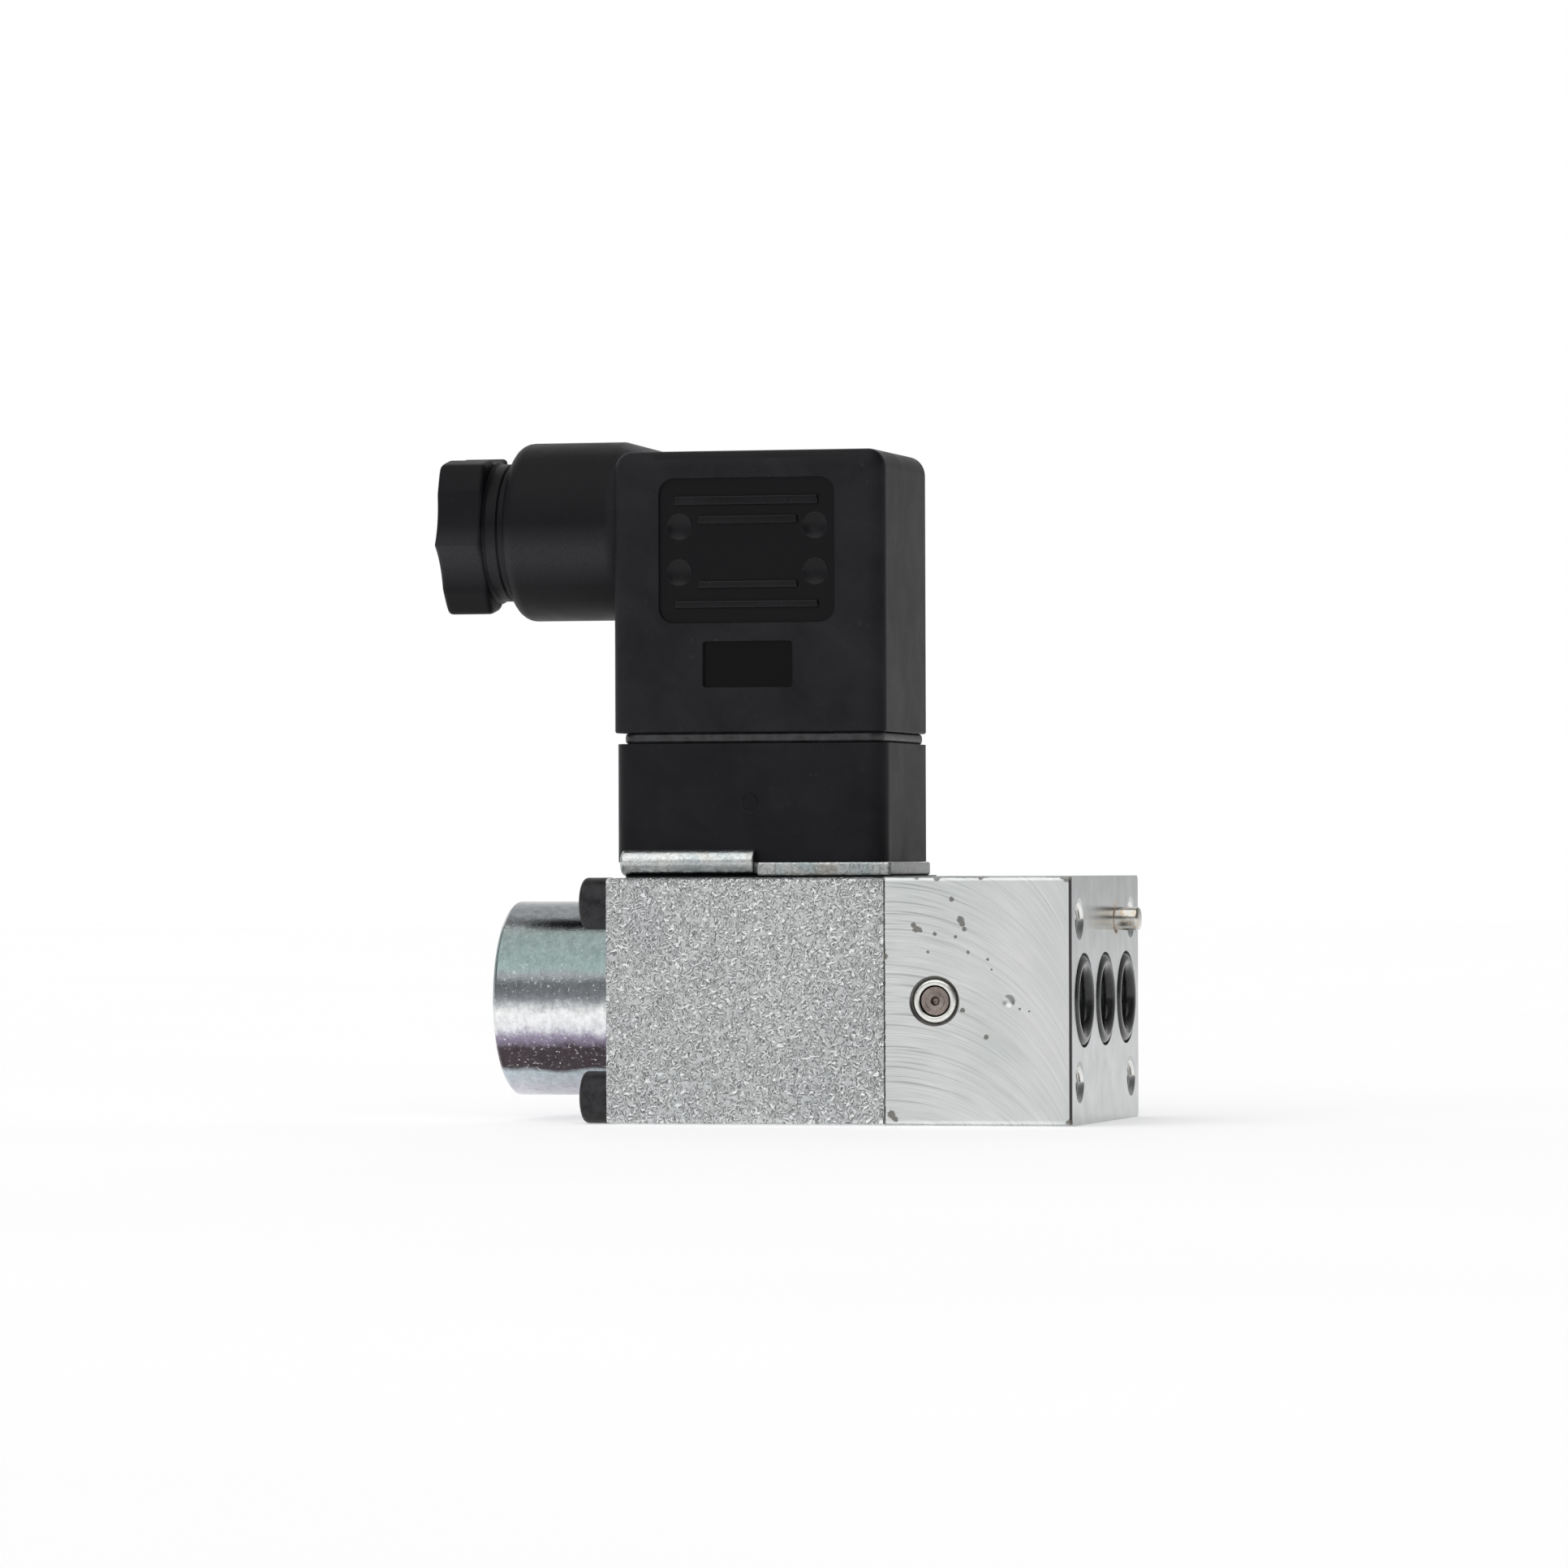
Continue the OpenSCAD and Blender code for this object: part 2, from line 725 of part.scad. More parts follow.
// Plug housing: hollow cube, recessed panel with ribs on both sides, neck for the cable gland
module plug_housing() {
    half_w = plug_w / 2;
    inner = half_w - plug_wall;
    color([0.08, 0.08, 0.09])
        difference() {
            union() {
                intersection() {
                    slab_z([plug_x0, -half_w], [plug_x1, half_w], plug_z, plug_top_z, plug_corner_r);
                    slab_y([plug_x0, plug_z - 5], [plug_x1, plug_top_z], -half_w, half_w, plug_top_r);
                }
                rod_x(neck_end_x, neck_crest_x, neck_d / 2, 0, neck_z);
                cone_x(neck_crest_x - skin, neck_runout_x, neck_d / 2, plug_top_z - neck_z - 0.1,
                       0, neck_z);
            }
            difference() {
                box([plug_x0 + plug_wall, -inner, plug_z - over],
                    [plug_x1 - plug_wall, inner, plug_top_z - plug_roof]);
                rod_z(insert_top_z, plug_top_z, screw_tower_r, lead_slot_x);
                rod_z(screw_well_tower_z, plug_top_z, screw_well_tower_r, lead_slot_x);
            }
            rod_z(plug_z, plug_top_z + over, plug_screw_hole_r, lead_slot_x);
            rod_z(plug_top_z - screw_well_depth, plug_top_z + over, screw_well_r, lead_slot_x);
            rod_x(neck_end_x - over, gland_shelf_x, gland_bore_r, 0, neck_z);
            rod_x(gland_shelf_x - over, plug_x0 + plug_wall + over, cable_way_r, 0, neck_z);
            side_recesses();
            mirror([0, 1, 0])
                side_recesses();
        }
}

// What is cut out of one side of the plug housing: the panel round its four ribs, the window
module side_recesses() {
    face_y = -plug_w / 2;
    panel_depth = 0.4;
    window_depth = 0.5;
    long_rib = [-44.3, -28.65];
    short_rib = [-41.8, -30.9];
    difference() {
        slab_y([-45.9, 39.9], [-26.9, 55.1], face_y - over, face_y + panel_depth, 1.6);
        rib(long_rib, [52.2, 53.5]);
        rib(short_rib, [50.2, 51.4]);
        rib(short_rib, [43.5, 44.5]);
        rib(long_rib, [41.3, 42.5]);
    }
    box([-41.1, face_y - over, 33.1], [-31.5, face_y + window_depth, 37.8]);
}

module rib(x, z) {
    rib_y = -plug_w / 2 + 0.05;
    box([x[0], rib_y, z[0]], [x[1], rib_y + 1, z[1]]);
}

// Carrier inside the plug that holds the three contact sockets
module terminal_insert() {
    gap = 0.1;
    half_y = plug_w / 2 - plug_wall - gap;
    pocket = [socket_w / 2 + snug, socket_t / 2 + snug];
    color([0.16, 0.16, 0.17])
        difference() {
            box([plug_x0 + plug_wall + gap, -half_y, plug_z + gap],
                [plug_x1 - plug_wall - gap, half_y, insert_top_z]);
            rod_z(plug_z, insert_top_z + over, plug_screw_hole_r + gap, lead_slot_x);
            at_contacts()
                box([-pocket[0], -pocket[1], plug_z], [pocket[0], pocket[1], insert_top_z + over]);
        }
}

module contact_sockets() {
    z0 = socket_top_z - socket_l;
    slot_top_z = base_top_z + blade_proud + 0.5;
    color([0.78, 0.74, 0.6])
        at_contacts()
            difference() {
                box([-socket_w / 2, -socket_t / 2, z0], [socket_w / 2, socket_t / 2, socket_top_z]);
                blade(z0 - over, slot_top_z, blade_gap);
                rod_z(socket_top_z - screw_in - fit, socket_top_z + over, terminal_r + snug);
            }
}

// Slotted terminal screws in the tops of the sockets
module terminal_screws() {
    head_top_z = socket_top_z + terminal_head[1];
    color([0.8, 0.8, 0.78])
        at_contacts()
            difference() {
                union() {
                    rod_z(socket_top_z - screw_in, socket_top_z + skin, terminal_r);
                    rod_z(socket_top_z, head_top_z, terminal_head[0]);
                }
                box([-terminal_head[0] - over, -terminal_slot[0] / 2, head_top_z - terminal_slot[1]],
                    [terminal_head[0] + over, terminal_slot[0] / 2, head_top_z + over]);
            }
}

module cable_seal() {
    color([0.12, 0.12, 0.12])
        tube_x(gland_shelf_x - seal_l, gland_shelf_x, gland_bore_r - fit, seal_hole_r, neck_z);
}

module gland_washer() {
    color([0.75, 0.75, 0.73])
        tube_x(washer_x, washer_x + washer_t, gland_bore_r - 2 * fit, cable_d / 2 + fit, neck_z);
}

// Compression nut: grooved hexagon head and the threaded collar that enters the neck
module gland_nut() {
    flat_r = nut_corners / 2 * cos(30);
    head_end_x = nut_x + nut_head_l;
    color([0.07, 0.07, 0.08])
        difference() {
            union() {
                translate([nut_x, 0, neck_z])
                    rotate([nut_roll, 0, 0])
                        rotate([0, 90, 0])
                            cylinder(h = nut_head_l, r = nut_corners / 2, $fn = 6);
                rod_x(head_end_x - skin, nut_collar_end_x, gland_bore_r - fit, 0, neck_z);
            }
            rod_x(nut_x - over, nut_collar_end_x + over, cable_d / 2, 0, neck_z);
            for (i = [0 : 5])
                translate([0, 0, neck_z])
                    rotate([nut_roll + 30 + 60 * i, 0, 0])
                        rod_x(nut_x - over, head_end_x + skin, groove_r,
                              (i % 2 == 0 ? -1 : 1) * groove_shift,
                              flat_r + groove_r - groove_depth);
        }
}

// Slotted screw down the middle of the plug
module plug_screw() {
    head_z = plug_top_z - screw_well_depth + screw_seal_t;
    head_top_z = head_z + plug_screw_head_l;
    color([0.7, 0.72, 0.72])
        difference() {
            union() {
                rod_z(plug_screw_tip_z, head_z + skin, plug_screw_r, lead_slot_x);
                rod_z(head_z, head_top_z, plug_screw_head_r, lead_slot_x);
            }
            translate([lead_slot_x, 0, head_top_z])
                box([-plug_screw_head_r - over, -plug_screw_slot[0] / 2, -plug_screw_slot[1]],
                    [plug_screw_head_r + over, plug_screw_slot[0] / 2, over]);
        }
}

module screw_seal() {
    seal_z = plug_top_z - screw_well_depth;
    color([0.12, 0.12, 0.12])
        difference() {
            rod_z(seal_z, seal_z + screw_seal_t, screw_seal_r, lead_slot_x);
            rod_z(seal_z - over, seal_z + 1, plug_screw_hole_r - fit, lead_slot_x);
        }
}

valve_block();
port_seals();
locating_pin();
gallery_sleeve();
gallery_pin();
tank_seat();
pressure_seat();
spring_retainer();
return_spring();
valve_ball();
coil_housing();
housing_screws();
core_seal();
fixed_core();
pole_tube();
tube_seal();
end_cap();
override_seal();
override_pin();
armature();
push_rod();
coil_bobbin();
coil_winding();
coil_leads();
base_plate();
terminal_base();
base_insert();
contact_blades();
plug_gasket();
plug_housing();
terminal_insert();
contact_sockets();
terminal_screws();
cable_seal();
gland_washer();
gland_nut();
plug_screw();
screw_seal();
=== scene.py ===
"""Looks of the solenoid valve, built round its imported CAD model.

Shapes are drawn in millimetres in the row frame, and MM turns a finished mesh into metres.
"""

import json
import math

import bmesh
import bpy
from mathutils import Matrix, Vector

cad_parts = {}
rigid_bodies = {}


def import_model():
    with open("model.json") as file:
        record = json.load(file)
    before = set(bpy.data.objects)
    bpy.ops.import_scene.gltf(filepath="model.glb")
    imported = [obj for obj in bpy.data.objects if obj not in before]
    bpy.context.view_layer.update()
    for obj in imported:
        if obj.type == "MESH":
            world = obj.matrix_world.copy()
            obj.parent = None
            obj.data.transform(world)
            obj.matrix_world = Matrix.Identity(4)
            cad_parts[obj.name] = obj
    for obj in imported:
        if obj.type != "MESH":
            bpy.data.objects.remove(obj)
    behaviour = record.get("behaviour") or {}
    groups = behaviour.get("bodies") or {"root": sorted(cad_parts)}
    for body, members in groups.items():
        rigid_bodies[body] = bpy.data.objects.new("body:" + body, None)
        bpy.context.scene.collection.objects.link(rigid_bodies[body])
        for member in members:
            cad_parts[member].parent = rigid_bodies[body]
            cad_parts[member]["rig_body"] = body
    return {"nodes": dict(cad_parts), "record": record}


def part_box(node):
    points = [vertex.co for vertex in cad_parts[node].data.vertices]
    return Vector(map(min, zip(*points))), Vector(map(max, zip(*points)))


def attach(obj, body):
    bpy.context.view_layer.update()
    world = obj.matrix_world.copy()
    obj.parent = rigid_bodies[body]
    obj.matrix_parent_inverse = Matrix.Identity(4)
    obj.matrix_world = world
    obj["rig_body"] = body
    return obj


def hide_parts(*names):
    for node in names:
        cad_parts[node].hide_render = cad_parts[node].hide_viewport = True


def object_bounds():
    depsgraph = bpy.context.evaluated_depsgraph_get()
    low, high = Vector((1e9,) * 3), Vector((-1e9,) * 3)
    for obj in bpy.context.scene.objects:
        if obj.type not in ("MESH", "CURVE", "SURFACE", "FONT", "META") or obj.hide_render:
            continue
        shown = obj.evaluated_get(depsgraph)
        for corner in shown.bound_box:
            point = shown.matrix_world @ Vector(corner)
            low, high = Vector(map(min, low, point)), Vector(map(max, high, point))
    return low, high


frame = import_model()
cad_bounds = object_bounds()

MM = 0.001
ROUND = 96  # sides of a turned piece

# Side, side and length directions of a turned piece
ALONG = {
    "+X": (Vector((0, 1, 0)), Vector((0, 0, 1)), Vector((1, 0, 0))),
    "-Y": (Vector((1, 0, 0)), Vector((0, 0, 1)), Vector((0, -1, 0))),
    "+Z": (Vector((1, 0, 0)), Vector((0, 1, 0)), Vector((0, 0, 1))),
}


# ---------------------------------------------------------------- mesh helpers


def box_mm(node):
    low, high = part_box(node)
    return low / MM, high / MM


def arc(station, radius, bend, start, end, steps=6):
    """Profile points on a circle of radius bend about (station, radius), angles in degrees."""
    turns = [math.radians(start + (end - start) * k / steps) for k in range(steps + 1)]
    return [(station + bend * math.cos(t), radius + bend * math.sin(t)) for t in turns]


def bridge(bm, first, second):
    """Faces between two rings of vertices; a ring of one vertex is a point."""
    count = max(len(first), len(second))
    for k in range(count):
        corners = [first[k % len(first)], first[(k + 1) % len(first)]]
        corners += [second[(k + 1) % len(second)], second[k % len(second)]]
        bm.faces.new(list(dict.fromkeys(corners)))


def turned(bm, along, centre, profile, closed=False, sides=ROUND, twist=0.0):
    """Turns (station, radius) pairs about an axis. A radius may be a function of the angle."""
    side, up, forward = ALONG[along]
    rings = []
    for station, radius in profile:
        middle = Vector(centre) + forward * station
        if radius == 0:
            rings.append([bm.verts.new(middle)])
            continue
        ring = []
        for k in range(sides):
            angle = 2 * math.pi * k / sides + twist
            reach = radius(angle) if callable(radius) else radius
            ring.append(bm.verts.new(middle + (side * math.cos(angle) + up * math.sin(angle)) * reach))
        rings.append(ring)
    for first, second in zip(rings, rings[1:] + rings[:1] if closed else rings[1:]):
        bridge(bm, first, second)


def plan_ring(low, high, reach, level, steps=8):
    """Points round the rectangle low-high, pushed out by elliptical corners of half axes reach."""
    centres = ((high[0], high[1]), (low[0], high[1]), (low[0], low[1]), (high[0], low[1]))
    points = []
    for quarter, (x, y) in enumerate(centres):
        for k in range(steps + 1):
            angle = math.pi / 2 * (quarter + k / steps)
            points.append((x + reach[0] * math.cos(angle), y + reach[1] * math.sin(angle), level))
    return points


def loft(bm, rings, closed=False):
    """Skin over rings of points with equal counts, with flat ends unless it closes on itself."""
    made = [[bm.verts.new(p) for p in ring] for ring in rings]
    for first, second in zip(made, made[1:] + made[:1] if closed else made[1:]):
        bridge(bm, first, second)
    if not closed:
        bm.faces.new(made[0][::-1])
        bm.faces.new(made[-1])


def flip_y(points):
    return [(x, z, y) for x, y, z in points]


def slab(bm, low, high, radius, start, end, steps=8, flare=0.0):
    """Rounded rectangle in X and Z, reaching along Y from start to end; flare widens its end."""
    inner = [(low[0] + radius, low[1] + radius), (high[0] - radius, high[1] - radius)]
    rings = [
        flip_y(plan_ring(*inner, (radius, radius), start, steps)),
        flip_y(plan_ring(*inner, (radius + flare, radius + flare), end, steps)),
    ]
    loft(bm, rings)


def block(bm, low, high, edge=0.0):
    """A box between two corners, with rounded edges if edge is given."""
    size = Vector(high) - Vector(low)
    middle = (Vector(high) + Vector(low)) / 2
    matrix = Matrix.Translation(middle) @ Matrix.Diagonal((*size, 1))
    made = bmesh.ops.create_cube(bm, size=1, matrix=matrix)["verts"]
    if edge:
        edges = list(dict.fromkeys(e for v in made for e in v.link_edges))
        bmesh.ops.bevel(bm, geom=edges, offset=edge, segments=3, profile=0.5, affect="EDGES")


def solid(name, bm):
    """Turns a bmesh in millimetres into an object in metres."""
    bmesh.ops.remove_doubles(bm, verts=bm.verts, dist=1e-4)
    bmesh.ops.recalc_face_normals(bm, faces=bm.faces)
    bmesh.ops.scale(bm, vec=(MM, MM, MM), verts=bm.verts)
    mesh = bpy.data.meshes.new(name)
    bm.to_mesh(mesh)
    bm.free()
    made = bpy.data.objects.new(name, mesh)
    bpy.context.scene.collection.objects.link(made)
    return made


def shape(name, draw, *args, **options):
    """An object drawn by one function into a fresh bmesh."""
    bm = bmesh.new()
    draw(bm, *args, **options)
    return solid(name, bm)


def bake(obj):
    """Applies an object's modifiers to its mesh."""
    graph = bpy.context.evaluated_depsgraph_get()
    mesh = bpy.data.meshes.new_from_object(obj.evaluated_get(graph))
    obj.modifiers.clear()
    obj.data = mesh


def combine(obj, others, operation):
    """Cuts other solids out of obj or adds them to it, then removes them."""
    for other in others:
        step = obj.modifiers.new("combine", "BOOLEAN")
        step.object = other
        step.operation = operation
        step.solver = "EXACT"
    bake(obj)
    for other in others:
        bpy.data.objects.remove(other)


def soften(obj, width, segments=2, angle=32):
    """Rounds every sharp edge by width millimetres."""
    step = obj.modifiers.new("soften", "BEVEL")
    step.width = width * MM
    step.segments = segments
    step.limit_method = "ANGLE"
    step.angle_limit = math.radians(angle)
    step.use_clamp_overlap = True
    bake(obj)


def smooth(obj, angle=38):
    """Smooth shading up to that angle, with flat faces kept flat beside their rounded edges."""
    mesh = obj.data
    mesh.polygons.foreach_set("use_smooth", [True] * len(mesh.polygons))
    mesh.set_sharp_from_angle(angle=math.radians(angle))
    step = obj.modifiers.new("even", "WEIGHTED_NORMAL")
    step.keep_sharp = True
    step.weight = 100
    bake(obj)


def cad_copy(node, name, edge):
    """A new piece from a CAD node's shape, with its flat faces joined and its edges rounded."""
    bm = bmesh.new()
    bm.from_mesh(frame["nodes"][node].data)
    bmesh.ops.scale(bm, vec=(1 / MM, 1 / MM, 1 / MM), verts=bm.verts)
    bmesh.ops.remove_doubles(bm, verts=bm.verts, dist=1e-3)
    flat = math.radians(0.4)
    bmesh.ops.dissolve_limit(bm, angle_limit=flat, verts=bm.verts, edges=bm.edges)
    made = solid(name, bm)
    if edge:
        soften(made, edge)
    return made


def dress(obj, body, slot, replaced=(), material=None, angle=38):
    """Gives a piece its material, its slot's unless another is given, and its body, and hides the CAD nodes
    it stands for.
    """
    smooth(obj, angle)
    obj.data.materials.clear()
    obj.data.materials.append(material or MATERIALS[slot])
    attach(obj, body)
    if replaced:
        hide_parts(*replaced)
    return obj


# ------------------------------------------------------------ material helpers


class Tree:
    """Adds nodes to a node tree and links them."""

    def __init__(self, tree):
        self.tree = tree

    def fill(self, node, inputs):
        """Links or sets inputs of a node, given by name or number."""
        for socket, value in inputs.items():
            if isinstance(value, bpy.types.NodeSocket):
                self.tree.links.new(value, node.inputs[socket])
            else:
                node.inputs[socket].default_value = value

    def add(self, kind, inputs=None, **settings):
        made = self.tree.nodes.new(kind)
        for key, value in settings.items():
            setattr(made, key, value)
        self.fill(made, inputs or {})
        return made

    def calc(self, operation, *values):
        return self.add("ShaderNodeMath", dict(enumerate(values)), operation=operation).outputs[0]

    def times(self, first, *others):
        for other in others:
            first = self.calc("MULTIPLY", first, other)
        return first

    def most(self, first, *others):
        for other in others:
            first = self.calc("MAXIMUM", first, other)
        return first

    def less(self, first, second):
        return self.calc("SUBTRACT", first, second)

    def remap(self, value, low, high, to_low=0.0, to_high=1.0):
        limits = {"From Min": low, "From Max": high, "To Min": to_low, "To Max": to_high}
        return self.add("ShaderNodeMapRange", {"Value": value, **limits}).outputs[0]

    def ramp(self, value, stops):
        """Colours along value; stops are (place, colour) pairs."""
        made = self.add("ShaderNodeValToRGB", {0: value})
        bar = made.color_ramp.elements
        while len(bar) < len(stops):
            bar.new(0.5)
        for element, (where, colour) in zip(bar, stops):
            element.position = where
            element.color = (*colour, 1)
        return made.outputs[0]

    def mix(self, share, first, second, blend="MIX"):
        first, second = ((*tone, 1) if isinstance(tone, tuple) else tone for tone in (first, second))
        inputs = {0: share, 6: first, 7: second}
        return self.add("ShaderNodeMix", inputs, data_type="RGBA", blend_type=blend).outputs[2]


class Nodes(Tree):
    """One material's node tree. Coordinates are in millimetres in the row frame."""

    def __init__(self, name, colour, metallic, roughness, **more):
        self.material = bpy.data.materials.new(name)
        self.material.use_nodes = True
        super().__init__(self.material.node_tree)
        self.shader = self.tree.nodes["Principled BSDF"]
        self.done(Base_Color=(*colour, 1), Metallic=metallic, Roughness=roughness, **more)
        place = self.add("ShaderNodeTexCoord").outputs["Object"]
        scaled = self.add("ShaderNodeVectorMath", operation="SCALE")
        self.fill(scaled, {0: place, "Scale": 1 / MM})
        self.place = scaled.outputs[0]
        self.split = None

    def done(self, **sockets):
        """Feeds the shader; an underscore stands for a space in a socket's name."""
        self.fill(self.shader, {name.replace("_", " "): value for name, value in sockets.items()})
        return self.material

    def axis(self, letter):
        if self.split is None:
            self.split = self.add("ShaderNodeSeparateXYZ", {0: self.place})
        return self.split.outputs[letter]

    def stretch(self, scales, offset=(0, 0, 0)):
        """The coordinates scaled, then moved by offset."""
        inputs = {"Vector": self.place, "Location": offset, "Scale": scales}
        return self.add("ShaderNodeMapping", inputs).outputs[0]

    def noise(self, scale, detail=2.0, rough=0.5, warp=0.0, place=None):
        inputs = {"Scale": scale, "Detail": detail, "Roughness": rough, "Distortion": warp}
        inputs["Vector"] = self.place if place is None else place
        return self.add("ShaderNodeTexNoise", inputs).outputs["Fac"]

    def bump(self, height, depth, strength=1.0, under=None):
        """Adds relief of depth millimetres; under is relief made before."""
        inputs = {"Strength": strength, "Distance": depth * MM, "Height": height}
        if under is not None:
            inputs["Normal"] = under
        return self.add("ShaderNodeBump", inputs).outputs[0]

    def spot(self, x, z, radius, noise, rag=0.6, across="X"):
        """1 inside a ragged spot about (x, z), 0 outside; across names the first axis."""
        dx = self.less(self.axis(across), x)
        dz = self.less(self.axis("Z"), z)
        away = self.calc("SQRT", self.calc("ADD", self.times(dx, dx), self.times(dz, dz)))
        ragged = self.calc("MULTIPLY_ADD", noise, rag * radius * 2, self.less(away, rag * radius))
        return self.remap(ragged, radius, radius * 0.8)

    def facing(self, letter, low=0.6, high=0.8):
        """1 where the surface faces along an axis, either way."""
        normal = self.add("ShaderNodeNewGeometry").outputs["Normal"]
        parts = self.add("ShaderNodeSeparateXYZ", {0: normal})
        return self.remap(self.calc("ABSOLUTE", parts.outputs[letter]), low, high)


# ------------------------------------------------------------------- materials

SCREW_X = -36.15  # middle of the plug
PLUG_LEFT = -51.1  # left side of the plug without its neck
LIP_L = 14.6  # length of the base plate's lip

# Chips in the plating of the block's near side: x, z, radius
CHIPS = (
    (-16.8, 7.9, 0.3), (-16.5, 7.5, 0.4), (-16.1, 7.4, 0.3), (-11.8, 8.5, 0.4), (-11.6, 8.0, 0.3),
    (-11.4, 7.5, 0.28), (-12.7, 10.6, 0.3), (-14.5, 7.0, 0.22), (-12.3, 6.7, 0.2), (-15.25, 5.1, 0.18),
    (-11.0, 5.1, 0.2), (-8.9, 4.35, 0.16), (-8.5, 3.3, 0.14), (-9.1, -3.7, 0.26), (-5.5, -0.8, 0.13),
    (-4.5, -1.05, 0.12), (-19.2, -11.8, 0.4), (-18.8, -12.3, 0.3), (-19.9, 4.6, 0.35), (-14.3, 12.9, 0.4),
    (-9.6, 12.9, 0.3), (-0.4, 12.8, 0.5), (-0.9, 12.9, 0.3), (-0.3, -12.6, 0.35), (-11.6, -0.95, 0.3),
    (-16.5, 12.9, 0.25),
)
MILL_MIDDLE_X = -19.5
MILL_R = 20.5
MILL_WANDER = 0.014  # how fast the marks change along their arcs
DIMPLE_X = -6.7
DIMPLE_SPOT_R = 0.8
MOUTH_SPOT_R = 3.2  # the shaded mouth round the gallery sleeve
PIN_SEAT_R = 1.7  # the shaded seat round the locating pin
PIN_STAIN_R = 2.1
SHARP = 0.5  # stands in for the noise of a spot whose rim isn't ragged


def painted_edge_shade(n, ragged):
    """1 along the dark, ragged outline of the block's near face: painted shade along its edges, patchy along
    its top.
    """
    low, high = box_mm("valve_block")
    jitter = n.calc("MULTIPLY_ADD", ragged, 0.3, -0.15)
    across = n.calc("ADD", n.axis("X"), jitter)
    up = n.calc("ADD", n.axis("Z"), jitter)
    right = n.remap(n.axis("X"), high.x - 0.32, high.x - 0.27)
    left = n.remap(across, low.x + 0.20, low.x + 0.12)
    under = n.times(n.remap(up, low.z + 0.26, low.z + 0.18), 0.7)
    patchy = n.remap(n.noise(0.35, 3.0), 0.5, 0.56)
    above = n.times(n.remap(up, high.z - 0.2, high.z - 0.12), patchy)
    return n.most(right, left, under, above)


def mill_marks(n):
    """Coordinates across and along the arcs that a face mill leaves when it is fed sideways."""
    from_middle = n.less(n.axis("X"), MILL_MIDDLE_X)
    sag = n.less(MILL_R ** 2, n.times(from_middle, from_middle))
    bow = n.calc("SQRT", n.most(sag, 1.0))
    across = n.less(n.calc("ADD", n.axis("Z"), n.axis("Y")), bow)
    along = n.times(n.axis("X"), MILL_WANDER)
    return n.add("ShaderNodeCombineXYZ", {0: across, 1: along}).outputs[0]


def milled(n):
    """The milled sides: their streaks as relief, and their colour."""
    swept = mill_marks(n)
    fine = n.noise(7.0, 3.0, 0.7, place=swept)
    hair = n.noise(16.0, 2.0, 0.6, place=swept)
    broad = n.noise(1.1, 2.0, 0.5, place=swept)
    line = n.noise(3.2, 2.0, 0.6, place=swept)
    streaks = n.calc("MULTIPLY_ADD", hair, 0.5, n.times(fine, 0.35))
    streaks = n.calc("MULTIPLY_ADD", broad, 0.15, streaks)
    tones = [(0.38, (0.68, 0.69, 0.685)), (0.5, (0.80, 0.81, 0.80)), (0.64, (0.93, 0.94, 0.93))]
    colour = n.ramp(streaks, tones)
    colour = n.mix(n.remap(n.noise(0.12, 2.0), 0.35, 0.7), colour, (0.90, 0.92, 0.92), "MULTIPLY")
    grooved = n.remap(n.axis("X"), -17.0, -8.0, 0.55, 0.12)
    colour = n.mix(n.times(n.remap(line, 0.42, 0.36), grooved), colour, (0.34, 0.35, 0.35))
    return streaks, colour


def ground_face(n):
    """The port face: satin grey with a little rust."""
    colour = n.ramp(n.noise(0.35, 3.0), [(0.3, (0.46, 0.48, 0.48)), (0.7, (0.58, 0.60, 0.60))])
    rust = n.remap(n.noise(1.3, 3.0, 0.7, place=n.stretch((1, 1, 0.6), (3, 0, 9))), 0.66, 0.71, 0.0, 0.5)
    return n.mix(rust, colour, (0.42, 0.34, 0.25))


def around_pin(n, colour, ported, ragged):
    """Rust stain and shaded seat round the locating pin."""
    low, high = box_mm("locating_pin")
    y, z = (low.y + high.y) / 2, (low.z + high.z) / 2
    stain = n.times(n.spot(y, z, PIN_STAIN_R, ragged, 1.0, "Y"), ported, 0.45)
    seat = n.times(n.spot(y, z, PIN_SEAT_R, SHARP, 0.0, "Y"), ported)
    colour = n.mix(stain, colour, (0.62, 0.42, 0.20))
    return n.mix(seat, colour, (0.20, 0.18, 0.16))


def hollows(n, colour):
    """Dark mouth of the cross drilling, and the shaded side of the drill dimple."""
    low, high = box_mm("gallery_sleeve")
    face = box_mm("valve_block")[0].y
    sunk = n.times(n.remap(n.axis("Y"), face + 0.02, face + 0.06), n.remap(n.axis("Y"), -1.0, -2.0))
    mouth = n.spot((low.x + high.x) / 2, 0.0, MOUTH_SPOT_R, SHARP, 0.0)
    mouth = n.times(mouth, sunk, n.facing("Y", 0.2, 0.4))
    slope = n.remap(n.calc("ADD", n.axis("X"), n.axis("Z")), DIMPLE_X - 0.1, DIMPLE_X + 0.25)
    dimple = n.times(n.spot(DIMPLE_X, 0.0, DIMPLE_SPOT_R, SHARP, 0.0), slope, sunk)
    colour = n.mix(mouth, colour, (0.14, 0.135, 0.13))
    return n.mix(n.times(dimple, 0.75), colour, (0.15, 0.15, 0.15))


